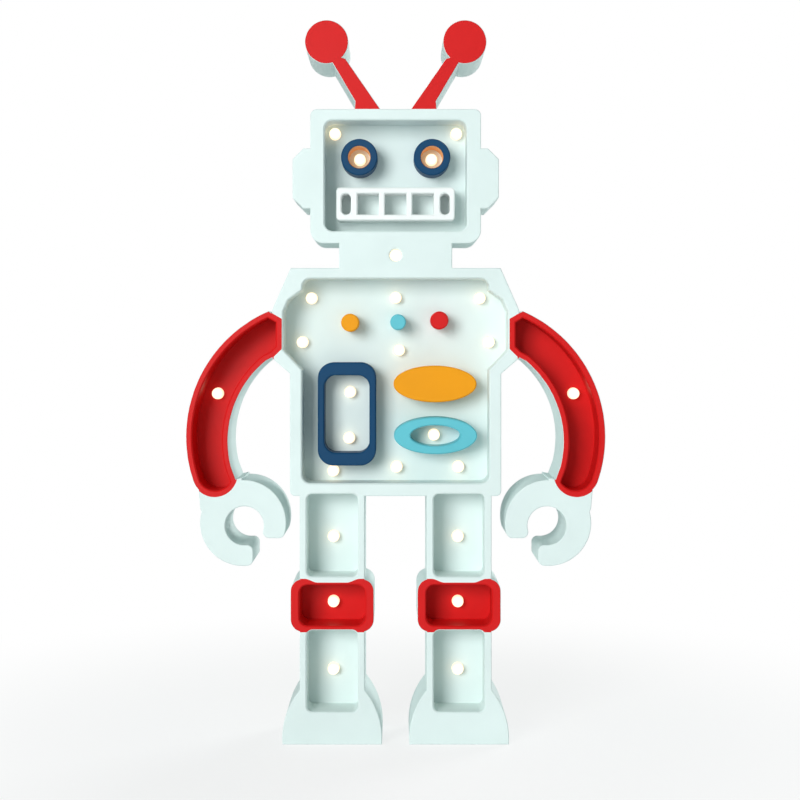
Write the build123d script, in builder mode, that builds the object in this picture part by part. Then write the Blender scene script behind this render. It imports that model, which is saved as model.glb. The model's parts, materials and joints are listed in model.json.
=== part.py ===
from build123d import *
from math import atan2, cos, degrees, hypot, radians, sin
import os

# Robot-shaped desk lamp: one thick wooden board milled from the front into lit recesses and
# from the back into a wiring cavity. X is across, -Y is the front, Z is up, feet at Z = 0.

# ---------------------------------------------------------------- board, front to back
board_thickness = 50.0
recess_depth = 25.0
floor_thickness = 4.0
panel_thickness = 3.0
panel_set_back = 4.5
outline_edge = 0.5
mouth_edge = 0.9

front_y = -board_thickness / 2
back_y = board_thickness / 2
recess_floor_y = front_y + recess_depth
cavity_floor_y = recess_floor_y + floor_thickness
panel_outer_y = back_y - panel_set_back
panel_inner_y = panel_outer_y - panel_thickness

# ---------------------------------------------------------------- sizes that the rest hangs on
leg_height = 171.5
torso_height = 157.4
torso_half_width = 72.9
neck_height = 17.1
head_height = 92.6
torso_bottom = leg_height
torso_top = torso_bottom + torso_height
head_bottom = torso_top + neck_height
head_top = head_bottom + head_height

# ---------------------------------------------------------------- feet and legs
leg_x = torso_half_width - 29.1
leg_half_width = 22.4
foot_half_width = 34.3
foot_waist = (31.4, 21.8)
foot_height = 37.6
shin_recess = (22.5, 78.8)
thigh_recess = (115.8, leg_height + 1.4)
leg_wall = 4.8
leg_recess_radius = 4.0
knee_z = 96.0
knee_half_width = 28.8
knee_half_height = 18.3
knee_radius = 8.5
knee_side_wall = 6.0
knee_end_wall = 4.2
knee_recess_radius = 6.0

# ---------------------------------------------------------------- torso and neck
torso_radius = 3.5
torso_side_wall = 8.2
torso_end_wall = 7.2
torso_bottom_wall = 8.8
torso_recess_radius = 6.0
shoulder_reach = torso_half_width + 12.4
shoulder_low = torso_top - 62.2
shoulder_high = torso_top - 29.0
shoulder_foot = (torso_half_width + 1.3, torso_top - 71.8)
shoulder_wall = 7.6
bulge_root = 2.0
bulge_drops = ((14.4, 15.2), (21.9, 29.9), (56.6, 61.9), (70.4, 70.9))
bulge_bevels = (3.5, 5.0)
neck_half_width = 39.0

# ---------------------------------------------------------------- head
head_half_width = 58.9
head_low_radius = 9.0
head_high_radius = 4.5
head_side_wall = 9.7
head_bottom_wall = 8.4
head_top_wall = 7.6
head_recess_radius = 6.0
ear_half_width = head_half_width + 12.3
ear_low = head_bottom + 24.0
ear_high = head_bottom + 65.5
ear_chamfer = 7.5

# ---------------------------------------------------------------- antennas
antenna_ball = (47.7, head_top + 46.4)
antenna_ball_radius = 15.0
antenna_inner_foot = 10.6
antenna_outer_foot = 28.4
antenna_foot_step = 5.4
antenna_slope = (24.1, 34.8)
antenna_width = 11.2

# ---------------------------------------------------------------- arms and hands
arm_outer_centre = (torso_half_width - 22.7, torso_top - 116.5)
arm_outer_radius = 94.6
arm_inner_centre = (torso_half_width - 29.0, torso_top - 119.6)
arm_inner_radius = 71.9
arm_start_angle = 66.6
arm_end_angle = -18.5
arm_inner_start_angle = 50.5
arm_inner_end_angle = -13.8
arm_shoulder_x = shoulder_reach - 6.7
arm_armpit = (arm_shoulder_x + 5.5, torso_top - 61.3)
arm_shoulder_low = (arm_shoulder_x, torso_top - 55.9)
arm_shoulder_high = (arm_shoulder_x, torso_top - 35.1)
arm_shoulder_radius = 2.0
wrist_heel_radius = 2.5
arm_wall = 4.2
wrist_x = arm_outer_centre[0] + arm_outer_radius - 19.8
wrist_z = arm_outer_centre[1] - 25.7
wrist_low = (wrist_x, wrist_z - 15.7)
wrist_heel = (wrist_x - 15.4, wrist_z - 5.9)
cuff_outline = (
    (wrist_x + 11.2, wrist_z - 8.7),
    (wrist_x + 9.9, wrist_z - 23.7),
    (wrist_x + 5.0, wrist_z - 36.7),
    (wrist_x - 21.0, wrist_z - 26.7),
    (wrist_x - 19.0, wrist_z - 2.7),
)
hand_centre = (wrist_x - 19.7, wrist_z - 33.8)
hand_radius = 29.7
grip_centre = (hand_centre[0] - 0.9, hand_centre[1] - 1.9)
grip_radius = 13.4
grip_mouth = (hand_centre[0] - 6.9, hand_centre[1] - 10.5)
finger_radius = 4.2

# ---------------------------------------------------------------- pieces glued on the floors
applique_height = 18.0
applique_edge = 0.8
eye_place = (25.3, head_top - 32.2)
eye_radius = 12.7
eye_hole_radius = 7.5
mouth_middle_z = head_bottom + 27.8
mouth_width = 82.4
mouth_height = 23.0
mouth_radius = 2.6
window_height = 14.7
tooth_window = 15.0
tooth_pitch = 19.1
slot_window = 6.7
slot_offset = 34.4
peg_places = ((-31.7, torso_top - 37.6), (1.7, torso_top - 37.2), (30.5, torso_top - 36.0))
peg_radii = (6.25, 5.5, 6.25)
frame_place = (-33.9, torso_bottom + 56.3)
frame_width = 40.5
frame_height = 71.8
frame_side_bar = 4.6
frame_end_bar = 9.0
frame_outer_radius = 11.0
frame_inner_radius = 8.0
oval_half_width = 28.9
upper_oval_place = (torso_half_width - 45.5, torso_bottom + 77.1)
upper_oval_half_height = 12.7
lower_oval_place = (torso_half_width - 45.2, torso_bottom + 41.2)
lower_oval_half_height = 12.9
oval_hole_half_width = 17.4
oval_hole_half_height = 7.2

# ---------------------------------------------------------------- lights
light_radius = 4.0
light_dome_radius = 3.4
light_flange_radius = 4.6
light_flange_thickness = 1.6
light_straight = 7.8
light_clearance = 0.15
light_proud = 7.0
lead_radius = 0.3
lead_spacing = 2.54
lead_length = 2.6
brow_light = (head_half_width - 16.2, head_top - 13.9)
eye_light = (25.2, head_top - 32.1)
head_lights = (
    (-brow_light[0], brow_light[1]), brow_light,
    (-eye_light[0], eye_light[1]), eye_light,
)
neck_light = (0.0, torso_top + 8.9)
chest_corner = (torso_half_width - 13.6, torso_top - 20.1)
chest_flank = (torso_half_width - 7.2, torso_top - 51.1)
torso_lights = (
    (-chest_corner[0], chest_corner[1]), (0.0, torso_top - 19.7), chest_corner,
    (-chest_flank[0], chest_flank[1]), chest_flank, (2.4, torso_top - 56.7),
    (frame_place[0] + 1.8, frame_place[1] + 14.9), (frame_place[0] + 1.1, frame_place[1] - 17.5),
    (lower_oval_place[0] - 0.7, lower_oval_place[1] - 0.2), (-44.0, frame_place[1] - frame_height / 2 - 4.7),
    (0.7, torso_bottom + 18.5), (44.2, torso_bottom + 18.5),
)
arm_light = (arm_outer_centre[0] + arm_outer_radius - 19.3, arm_outer_centre[1] + 29.2)
arm_lights = ((-arm_light[0], arm_light[1]), arm_light)
leg_light_heights = (141.0, 95.0, 47.5)

# ---------------------------------------------------------------- wiring cavity and back panel
cavity_neck_half_width = 16.0
cavity_leg_half_width = 12.0
cavity_leg_low = 24.0
arm_channel_width = 12.0
arm_channel_angles = (2.0, 62.0)
arm_middle_centre = (
    (arm_outer_centre[0] + arm_inner_centre[0]) / 2,
    (arm_outer_centre[1] + arm_inner_centre[1]) / 2,
)
arm_middle_radius = (arm_outer_radius + arm_inner_radius) / 2
cavity_radius = 3.0
panel_lip = 3.5
panel_clearance = 0.3
screw_block_size = 9.0
screw_pilot_radius = 1.2
screw_shank_radius = 1.5
screw_head_radius = 3.0
screw_head_height = 1.6
screw_length = 12.0
screw_clearance = 0.15
slot_width = 0.8
slot_depth = 0.7
panel_slot_length = 4.4
board_slot_length = 4.2

# ---------------------------------------------------------------- driver board
board_place = (0.0, torso_bottom + 71.5)
board_width = 60.0
board_height = 40.0
board_sheet = 1.6
board_stand = 5.1
board_hole_inset = 4.5
board_hole_radius = 1.6
spacer_radius = 3.0
board_screw_radius = 1.45
board_screw_head_radius = 2.8
board_screw_head_height = 1.7
board_screw_bite = 2.6
coil_place = (board_place[0] - 14.0, board_place[1] + 5.0)
coil_radius = 5.0
coil_height = 4.6
capacitor_place = (board_place[0] + 6.0, board_place[1] + 10.0)
capacitor_radius = 3.1
capacitor_length = 11.0
capacitor_edge = 0.5
chip_place = (board_place[0] + 4.0, board_place[1] - 5.0)
chip_width = 5.0
chip_height = 6.2
chip_thickness = 1.6
chip_lift = 0.2
chip_leg_span = 7.4
chip_leg_width = 0.45
chip_leg_pitch = 1.27
resistor_pitch = 7.0
resistor_row_z = board_place[1] - 13.5
resistor_size = (3.2, 1.6, 0.6)
component_gap = 0.05
coil_flange = 0.8
coil_groove = 2.2
pin_radius = 0.4
pin_clearance = 0.05
pin_inset = 2.4
pin_stub = 0.8
head_pin_offsets = (-6.0, 8.0)
leg_pin_offsets = (-14.0, -7.0, 7.0, 14.0)
arm_pin_offsets = (-5.0, 5.0)

# ---------------------------------------------------------------- supply inlet
inlet_place = (-2.0, torso_bottom + 31.5)
inlet_bore_radius = 2.8
inlet_bore_depth = 9.5
inlet_barrel_radius = 4.0
inlet_flange_radius = 5.6
inlet_flange_thickness = 1.5
inlet_barrel_length = 9.5
inlet_cap_radius = 4.4
inlet_cap_length = 1.8
inlet_pin_radius = 1.0
inlet_pin_length = 8.0
inlet_pin_tip = 0.7
inlet_edge = 0.4
inlet_nut_size = 10.0
inlet_nut_thickness = 2.0
inlet_fit = 0.1
tag_width = 1.8
tag_thickness = 0.5
tag_end_y = 7.3
inlet_tag_offset = 2.6

# ---------------------------------------------------------------- rocker switch
switch_place = (34.0, torso_top - 38.9)
switch_bezel_width = 10.6
switch_bezel_height = 16.4
switch_bezel_thickness = 1.5
switch_body_width = 8.6
switch_body_height = 14.4
switch_body_depth = 11.2
switch_wall = 1.0
switch_floor = 1.2
switch_cutout_clearance = 0.1
switch_bezel_radius = 1.2
barb_gap = 0.15
barb_length = 2.4
barb_height = 0.6
barb_width = 4.0
rocker_pivot_depth = 1.0
rocker_radius = 5.9
rocker_side_clearance = 0.2
rocker_under = 1.2
rocker_waist = 2.6
rocker_horn = 3.6
rocker_tilt = 12.0
rocker_stub_radius = 1.0
rocker_stub_length = 0.8
rocker_stub_clearance = 0.06
rocker_stop_depth = 4.2
rocker_stop_width = 0.6
boss_size = 3.0
boss_depth = 3.6
plunger_radius = 0.8
plunger_reach = 5.6
plunger_length = 3.2
plunger_clearance = 0.05
plunger_bore_depth = 4.2
spring_radius = 0.55
spring_wire_radius = 0.12
spring_pitch = 0.5
lever_pivot_depth = 7.65
lever_half_length = 4.8
lever_width = 3.4
lever_thickness = 0.5
lever_tilt = 8.0
lever_clearance = 0.25
contact_offset = 4.2
contact_width = 2.4
contact_thickness = 0.8

# ---------------------------------------------------------------- wires
string_wire_radius = 0.7
string_wire_lift = 0.1
supply_wire_radius = 0.8
supply_wire_y = tag_end_y + 0.7
joint_gap = 0.2
wire_bend = 6.0
arm_lane_shift = 2.8

os.makedirs("parts", exist_ok=True)


# ================================================================ helpers
def write(name, part):
    """Name one piece and write its file."""
    part.label = name
    export_step(part, f"parts/{name}.step")


def facing_front(y):
    """Sketch plane at depth y whose extrusions run towards the front."""
    return Plane.XZ.offset(-y)


def both_sides(place):
    """The same place on the left and on the right."""
    return [(-place[0], place[1]), (place[0], place[1])]


def on_circle(centre, radius, angle):
    """Point of a circle at an angle in degrees."""
    return (centre[0] + radius * cos(radians(angle)), centre[1] + radius * sin(radians(angle)))


def upright_block(middle_x, half_width, low, high, low_radius, high_radius):
    """Upright rectangle with one radius for its lower corners and one for its upper ones."""
    with BuildSketch(Plane.XY, mode=Mode.PRIVATE) as block:
        with Locations((middle_x, (low + high) / 2)):
            Rectangle(2 * half_width, high - low)
        fillet(block.vertices().group_by(Axis.Y)[-1], high_radius)
        fillet(block.vertices().group_by(Axis.Y)[0], low_radius)
    return block.sketch


def arm_face():
    """Front of the right arm: two arcs, a square shoulder end and a rounded wrist end."""
    outer_top = on_circle(arm_outer_centre, arm_outer_radius, arm_start_angle)
    outer_middle = on_circle(arm_outer_centre, arm_outer_radius, (arm_start_angle + arm_end_angle) / 2)
    outer_low = on_circle(arm_outer_centre, arm_outer_radius, arm_end_angle)
    inner_low = on_circle(arm_inner_centre, arm_inner_radius, arm_inner_end_angle)
    inner_middle_angle = (arm_inner_start_angle + arm_inner_end_angle) / 2
    inner_middle = on_circle(arm_inner_centre, arm_inner_radius, inner_middle_angle)
    inner_top = on_circle(arm_inner_centre, arm_inner_radius, arm_inner_start_angle)
    with BuildSketch(Plane.XY, mode=Mode.PRIVATE) as face:
        with BuildLine():
            ThreePointArc(outer_top, outer_middle, outer_low)
            ThreePointArc(outer_low, wrist_low, wrist_heel)
            Line(wrist_heel, inner_low)
            ThreePointArc(inner_low, inner_middle, inner_top)
            Polyline(inner_top, arm_armpit, arm_shoulder_low, arm_shoulder_high, outer_top)
        make_face()
        fillet(face.vertices().sort_by_distance(arm_shoulder_high)[0], arm_shoulder_radius)
        fillet(face.vertices().sort_by_distance(wrist_heel)[0], wrist_heel_radius)
    return face.sketch


def hand_face():
    """Front of the right hand: a disc on a cuff, with a round grip open towards the leg."""
    with BuildSketch(Plane.XY, mode=Mode.PRIVATE) as face:
        with Locations(hand_centre):
            Circle(hand_radius)
        with Locations(grip_centre):
            Circle(grip_radius, mode=Mode.SUBTRACT)
        with Locations(grip_mouth):
            Rectangle(2 * hand_radius, 2 * hand_radius, align=(Align.MAX, Align.MAX), mode=Mode.SUBTRACT)
        fingertips = face.vertices().filter_by(lambda corner: corner.Y < hand_centre[1])
        fillet(fingertips, finger_radius)
        with BuildLine():
            Polyline(*cuff_outline, close=True)
        make_face()
        with Locations(grip_centre):
            Circle(grip_radius, mode=Mode.SUBTRACT)
    return face.sketch


def antenna_face():
    """Front of the right antenna: a disc on a slanting stem with a stepped foot."""
    run, rise = antenna_slope
    length = hypot(run, rise)
    across = (antenna_width * rise / length, -antenna_width * run / length)
    inner_foot = (antenna_inner_foot, head_top)
    outer_top = (antenna_ball[0], antenna_ball[1] - antenna_ball_radius / 2)
    step_z = head_top + antenna_foot_step
    step_x = antenna_inner_foot + across[0] + (step_z - head_top - across[1]) * run / rise
    with BuildSketch(Plane.XY, mode=Mode.PRIVATE) as face:
        with Locations(antenna_ball):
            Circle(antenna_ball_radius)
        with BuildLine():
            Polyline(
                (inner_foot[0], head_top - head_top_wall / 2),
                inner_foot,
                (inner_foot[0] + run, head_top + rise),
                outer_top,
                (step_x, step_z),
                (antenna_outer_foot, head_top),
                (antenna_outer_foot, head_top - head_top_wall / 2),
                close=True,
            )
        make_face()
    return face.sketch


def leg_face():
    """Front of the right leg: shank, knee and a foot with bowed sides."""
    with BuildSketch(Plane.XY, mode=Mode.PRIVATE) as face:
        with Locations((leg_x, 0)):
            Rectangle(2 * leg_half_width, leg_height + torso_bottom_wall / 2, align=(Align.CENTER, Align.MIN))
        add(upright_block(leg_x, knee_half_width, knee_z - knee_half_height, knee_z + knee_half_height,
                          knee_radius, knee_radius))
        for side in (-1, 1):
            with BuildLine():
                bottom = (leg_x + side * foot_half_width, 0)
                waist = (leg_x + side * foot_waist[0], foot_waist[1])
                ankle = (leg_x + side * leg_half_width, foot_height)
                ThreePointArc(bottom, waist, ankle)
                Polyline(ankle, (leg_x, foot_height), (leg_x, 0), bottom)
            make_face()
    return face.sketch


def torso_recess_face(wall_change):
    """Chest recess with a bulge into each shoulder, its walls thinned by wall_change."""
    half_width = torso_half_width - torso_side_wall + wall_change
    bulge = shoulder_reach - shoulder_wall + wall_change
    root = half_width - bulge_root
    corners = (
        (root, bulge_drops[0][0]),
        (half_width, bulge_drops[0][1]),
        (bulge - bulge_bevels[0], bulge_drops[1][0]),
        (bulge, bulge_drops[1][1]),
        (bulge, bulge_drops[2][0]),
        (bulge - bulge_bevels[1], bulge_drops[2][1]),
        (half_width, bulge_drops[3][0]),
        (root, bulge_drops[3][1]),
    )
    with BuildSketch(Plane.XY, mode=Mode.PRIVATE) as face:
        add(upright_block(0, half_width, torso_bottom + torso_bottom_wall - wall_change,
                          torso_top - torso_end_wall + wall_change, torso_recess_radius, torso_recess_radius))
        for side in (-1, 1):
            with BuildLine():
                Polyline(*[(side * x, torso_top - drop) for x, drop in corners], close=True)
            make_face()
    return face.sketch


def head_recess_face():
    """Recess of the face."""
    return upright_block(0, head_half_width - head_side_wall, head_bottom + head_bottom_wall,
                         head_top - head_top_wall, head_recess_radius, head_recess_radius)


def wiring_face():
    """Outline of the cavity milled from the back, joining everything that holds a light."""
    outer_radius = arm_middle_radius + arm_channel_width / 2
    inner_radius = arm_middle_radius - arm_channel_width / 2
    low, high = arm_channel_angles
    outer_low, outer_high = (on_circle(arm_middle_centre, outer_radius, angle) for angle in (low, high))
    inner_low, inner_high = (on_circle(arm_middle_centre, inner_radius, angle) for angle in (low, high))
    end_turn = degrees(arm_channel_width / 2 / arm_middle_radius)
    end_middle = on_circle(arm_middle_centre, arm_middle_radius, low - end_turn)
    torso_side = torso_half_width - torso_side_wall
    with BuildSketch(Plane.XY, mode=Mode.PRIVATE) as face:
        with BuildLine():
            CenterArc(arm_middle_centre, outer_radius, low, high - low)
            CenterArc(arm_middle_centre, inner_radius, low, high - low)
            ThreePointArc(outer_low, end_middle, inner_low)
            Polyline(outer_high, (torso_side, outer_high[1]), (torso_side, inner_high[1]), inner_high)
        make_face()
        add(upright_block(leg_x, cavity_leg_half_width, cavity_leg_low,
                          torso_bottom + 2 * torso_bottom_wall, cavity_radius, cavity_radius))
        mirror(about=Plane.YZ)
        add(head_recess_face())
        add(torso_recess_face(0))
        add(upright_block(0, cavity_neck_half_width, torso_top - 2 * torso_end_wall,
                          head_bottom + 2 * head_bottom_wall, cavity_radius, cavity_radius))
    return face.sketch


leg_lights = [(side * leg_x, height) for side in (-1, 1) for height in leg_light_heights]
floor_lights = head_lights + torso_lights + arm_lights + tuple(leg_lights)
screw_places = [
    (0.0, head_top - 13.6),
    *both_sides((head_half_width - 16.4, head_bottom + 15.5)),
    *both_sides((34.0, torso_top - 14.4)),
    *both_sides((torso_half_width - 15.4, torso_bottom + 60.5)),
    *both_sides((leg_x + 7.4, 118.0)),
    *both_sides((leg_x + 7.4, 71.0)),
    *both_sides((arm_outer_centre[0] + arm_outer_radius - 15.3, arm_outer_centre[1] + 9.6)),
]

# ================================================================ glued-up blank, milled as one
with BuildPart() as blank:
    with BuildSketch(facing_front(front_y)):
        add(upright_block(0, torso_half_width, torso_bottom, torso_top, torso_radius, torso_radius / 3))
        add(upright_block(0, head_half_width, head_bottom, head_top, head_low_radius, head_high_radius))
        with BuildSketch(Plane.XY, mode=Mode.PRIVATE) as ears:
            with Locations((0, (ear_low + ear_high) / 2)):
                Rectangle(2 * ear_half_width, ear_high - ear_low)
            chamfer(ears.vertices(), ear_chamfer)
        add(ears.sketch)
        with Locations((0, (torso_top + head_bottom) / 2)):
            Rectangle(2 * neck_half_width, head_bottom - torso_top + head_bottom_wall)
        with BuildSketch(Plane.XY, mode=Mode.PRIVATE) as right_side:
            with BuildLine():
                Polyline(
                    (torso_half_width - 4, torso_top - 1),
                    (torso_half_width, torso_top - 1),
                    (shoulder_reach, shoulder_high),
                    (shoulder_reach, shoulder_low),
                    shoulder_foot,
                    (torso_half_width - 4, shoulder_foot[1] - 5),
                    close=True,
                )
            make_face()
            add(arm_face())
            add(hand_face())
            add(antenna_face())
            add(leg_face())
        add(right_side.sketch)
        add(right_side.sketch.mirror(Plane.YZ))
    extrude(amount=-board_thickness)

    with BuildSketch(facing_front(front_y)):
        add(head_recess_face())
        add(torso_recess_face(0))
        with BuildSketch(Plane.XY, mode=Mode.PRIVATE) as right_recesses:
            for low, high in (shin_recess, thigh_recess):
                add(upright_block(leg_x, leg_half_width - leg_wall, low, high,
                                  leg_recess_radius, leg_recess_radius))
            knee_reach = knee_half_height - knee_end_wall
            add(upright_block(leg_x, knee_half_width - knee_side_wall, knee_z - knee_reach,
                              knee_z + knee_reach, knee_recess_radius, knee_recess_radius))
            with BuildSketch(Plane.XY, mode=Mode.PRIVATE) as arm_recess:
                add(arm_face())
                offset(amount=-arm_wall, mode=Mode.REPLACE)
            add(arm_recess.sketch)
        add(right_recesses.sketch)
        add(right_recesses.sketch.mirror(Plane.YZ))
    extrude(amount=-recess_depth, mode=Mode.SUBTRACT)

    with BuildSketch(facing_front(back_y)):
        add(wiring_face())
    extrude(amount=back_y - cavity_floor_y, mode=Mode.SUBTRACT)
    with BuildSketch(facing_front(back_y)):
        add(wiring_face())
        offset(amount=panel_lip, mode=Mode.REPLACE)
    extrude(amount=back_y - panel_inner_y, mode=Mode.SUBTRACT)

    with BuildSketch(facing_front(cavity_floor_y)):
        with Locations(*floor_lights):
            Circle(light_radius + light_clearance)
    extrude(amount=floor_thickness, mode=Mode.SUBTRACT)
    with BuildSketch(facing_front(cavity_floor_y)):
        with Locations(*floor_lights):
            Circle(light_flange_radius + light_clearance)
    extrude(amount=cavity_floor_y - (light_straight - light_proud), mode=Mode.SUBTRACT)
    with BuildSketch(facing_front(cavity_floor_y)):
        with Locations(neck_light):
            Circle(light_flange_radius + light_clearance)
    extrude(amount=cavity_floor_y - (front_y + light_straight), mode=Mode.SUBTRACT)
    with BuildSketch(facing_front(front_y)):
        with Locations(neck_light):
            Circle(light_radius + light_clearance)
    extrude(amount=-light_straight, mode=Mode.SUBTRACT)

    rim = blank.faces().filter_by(Axis.Y).group_by(Axis.Y)[0].sort_by(SortBy.AREA)[-1]
    chamfer(rim.outer_wire().edges(), outline_edge)
    rim = blank.faces().filter_by(Axis.Y).group_by(Axis.Y)[0].sort_by(SortBy.AREA)[-1]
    mouths = [edge for wire in rim.inner_wires() for edge in wire.edges()]
    chamfer(mouths, mouth_edge)


# ================================================================ blocks, cut along the glue lines
def zone(low_x, high_x, low_z, high_z):
    """Rectangle of the blank's front in the current sketch."""
    with Locations(((low_x + high_x) / 2, (low_z + high_z) / 2)):
        Rectangle(high_x - low_x, high_z - low_z)


arm_split_x = torso_half_width + 0.5
arm_split_z = shoulder_foot[1] - 25.0
far = 2 * arm_outer_radius
head_zone = (-far, far, torso_top, head_top)
antenna_zone = (0, far, head_top, antenna_ball[1] + far)
arm_zones = ((arm_shoulder_x, far, arm_split_z, torso_top), (arm_split_x, far, torso_bottom / 2, arm_split_z))
leg_zones = ((0, far, -far, torso_bottom / 2), (0, arm_split_x, torso_bottom / 2, torso_bottom))


def cut_block(zones):
    """The part of the blank that lies in the given zones of its front."""
    with BuildPart() as block:
        add(blank.part)
        with BuildSketch(facing_front(back_y)):
            for limits in zones:
                zone(*limits)
        extrude(amount=board_thickness, mode=Mode.INTERSECT)
    return block.part


right_arm = cut_block(arm_zones)
right_leg = cut_block(leg_zones)
right_antenna = cut_block((antenna_zone,))
for name, part in (("arm", right_arm), ("leg", right_leg), ("antenna", right_antenna)):
    write(f"{name}_right", part)
    write(f"{name}_left", part.mirror(Plane.YZ))
write("head_block", cut_block((head_zone,)))
write("torso_block", cut_block((
    (-arm_shoulder_x, arm_shoulder_x, arm_split_z, torso_top),
    (-arm_split_x, arm_split_x, torso_bottom, arm_split_z),
)))

# ================================================================ back panel and its fixings
with BuildPart() as back_panel:
    with BuildSketch(facing_front(panel_outer_y)):
        add(wiring_face())
        offset(amount=panel_lip - panel_clearance, mode=Mode.REPLACE)
    extrude(amount=panel_thickness)
    with BuildSketch(facing_front(panel_outer_y)):
        with Locations(*screw_places):
            Circle(screw_shank_radius + screw_clearance)
        with Locations(switch_place):
            Rectangle(
                switch_body_width + 2 * switch_cutout_clearance,
                switch_body_height + 2 * switch_cutout_clearance,
            )
        with Locations(inlet_place):
            Circle(inlet_barrel_radius + inlet_fit)
    extrude(amount=panel_thickness, mode=Mode.SUBTRACT)
    holes = back_panel.faces().sort_by(Axis.Y)[-1].edges().filter_by(GeomType.CIRCLE)
    screw_hole_radius = screw_shank_radius + screw_clearance
    screw_holes = holes.filter_by(lambda edge: abs(edge.radius - screw_hole_radius) < 0.001)
    chamfer(screw_holes, screw_head_height, screw_head_radius - screw_shank_radius)
write("back_panel", back_panel.part)

with BuildPart() as panel_screw_blocks:
    with BuildSketch(facing_front(panel_inner_y)):
        with Locations(*screw_places):
            Rectangle(screw_block_size, screw_block_size)
    extrude(amount=panel_inner_y - cavity_floor_y)
    with BuildSketch(facing_front(panel_inner_y)):
        with Locations(*screw_places):
            Circle(screw_pilot_radius + screw_clearance)
    extrude(amount=screw_length - panel_thickness + 1, mode=Mode.SUBTRACT)
write("panel_screw_blocks", panel_screw_blocks.part)

with BuildPart() as panel_screws:
    with BuildSketch(facing_front(panel_outer_y)):
        with Locations(*screw_places):
            Circle(screw_shank_radius)
    extrude(amount=panel_thickness)
    with BuildSketch(facing_front(panel_inner_y)):
        with Locations(*screw_places):
            Circle(screw_pilot_radius)
    extrude(amount=screw_length - panel_thickness)
    with BuildSketch(facing_front(panel_outer_y)):
        with Locations(*screw_places):
            Circle(screw_head_radius)
    countersink_taper = degrees(atan2(screw_head_radius - screw_shank_radius, screw_head_height))
    extrude(amount=screw_head_height, taper=countersink_taper)
    with BuildSketch(facing_front(panel_outer_y)):
        with Locations(*screw_places):
            Rectangle(panel_slot_length, slot_width)
            Rectangle(slot_width, panel_slot_length)
    extrude(amount=slot_depth, mode=Mode.SUBTRACT)
write("panel_screws", panel_screws.part)

# ================================================================ pieces glued on the recess floors
for name, side in (("eye_ring_left", -1), ("eye_ring_right", 1)):
    with BuildPart() as eye_ring:
        with BuildSketch(facing_front(recess_floor_y)):
            with Locations((side * eye_place[0], eye_place[1])):
                Circle(eye_radius)
                Circle(eye_hole_radius, mode=Mode.SUBTRACT)
        extrude(amount=applique_height)
        chamfer(eye_ring.faces().sort_by(Axis.Y)[0].edges(), applique_edge)
    write(name, eye_ring.part)

with BuildPart() as mouth_grille:
    with BuildSketch(facing_front(recess_floor_y)):
        with Locations((0, mouth_middle_z)):
            RectangleRounded(mouth_width, mouth_height, mouth_radius)
            with GridLocations(tooth_pitch, 0, 3, 1):
                Rectangle(tooth_window, window_height, mode=Mode.SUBTRACT)
            with GridLocations(2 * slot_offset, 0, 2, 1):
                SlotOverall(window_height, slot_window, rotation=90, mode=Mode.SUBTRACT)
    extrude(amount=applique_height)
    chamfer(mouth_grille.faces().sort_by(Axis.Y)[0].edges(), applique_edge)
write("mouth_grille", mouth_grille.part)

peg_names = ("chest_peg_left", "chest_peg_middle", "chest_peg_right")
for name, place, radius in zip(peg_names, peg_places, peg_radii):
    with BuildPart() as chest_peg:
        with BuildSketch(facing_front(recess_floor_y)):
            with Locations(place):
                Circle(radius)
        extrude(amount=applique_height)
        chamfer(chest_peg.faces().sort_by(Axis.Y)[0].edges(), applique_edge)
    write(name, chest_peg.part)

with BuildPart() as window_frame:
    with BuildSketch(facing_front(recess_floor_y)):
        with Locations(frame_place):
            RectangleRounded(frame_width, frame_height, frame_outer_radius)
            RectangleRounded(
                frame_width - 2 * frame_side_bar, frame_height - 2 * frame_end_bar,
                frame_inner_radius, mode=Mode.SUBTRACT,
            )
    extrude(amount=applique_height)
    chamfer(window_frame.faces().sort_by(Axis.Y)[0].edges(), applique_edge)
write("window_frame", window_frame.part)

with BuildPart() as upper_oval:
    with BuildSketch(facing_front(recess_floor_y)):
        with Locations(upper_oval_place):
            Ellipse(oval_half_width, upper_oval_half_height)
    extrude(amount=applique_height)
    chamfer(upper_oval.faces().sort_by(Axis.Y)[0].edges(), applique_edge)
write("upper_oval", upper_oval.part)

with BuildPart() as lower_oval_ring:
    with BuildSketch(facing_front(recess_floor_y)):
        with Locations(lower_oval_place):
            Ellipse(oval_half_width, lower_oval_half_height)
            Ellipse(oval_hole_half_width, oval_hole_half_height, mode=Mode.SUBTRACT)
    extrude(amount=applique_height)
    chamfer(lower_oval_ring.faces().sort_by(Axis.Y)[0].edges(), applique_edge)
write("lower_oval_ring", lower_oval_ring.part)


# ================================================================ lights and their leads
def make_lights(name, places, dome_y):
    """Round lights in their holes: a flange behind, straight sides and a domed front at dome_y."""
    with BuildPart() as lights:
        with BuildSketch(facing_front(dome_y + light_straight)):
            with Locations(*places):
                Circle(light_radius)
        extrude(amount=light_straight)
        fillet(lights.faces().filter_by(Axis.Y).group_by(Axis.Y)[0].edges(), light_dome_radius)
        with BuildSketch(facing_front(dome_y + light_straight + light_flange_thickness)):
            with Locations(*places):
                Circle(light_flange_radius)
        extrude(amount=light_flange_thickness)
    write(name, lights.part)


floor_dome_y = recess_floor_y - light_proud
make_lights("lights_head", head_lights, floor_dome_y)
make_lights("light_neck", (neck_light,), front_y)
make_lights("lights_torso", torso_lights, floor_dome_y)
make_lights("lights_arms", arm_lights, floor_dome_y)
make_lights("lights_legs", leg_lights, floor_dome_y)

with BuildPart() as light_leads:
    for places, dome_y in ((floor_lights, floor_dome_y), ((neck_light,), front_y)):
        lead_start = dome_y + light_straight + light_flange_thickness
        with BuildSketch(facing_front(lead_start)):
            with Locations(*places):
                with GridLocations(lead_spacing, 0, 2, 1):
                    Circle(lead_radius)
        extrude(amount=-(cavity_floor_y + lead_length - lead_start))
write("light_leads", light_leads.part)


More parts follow.
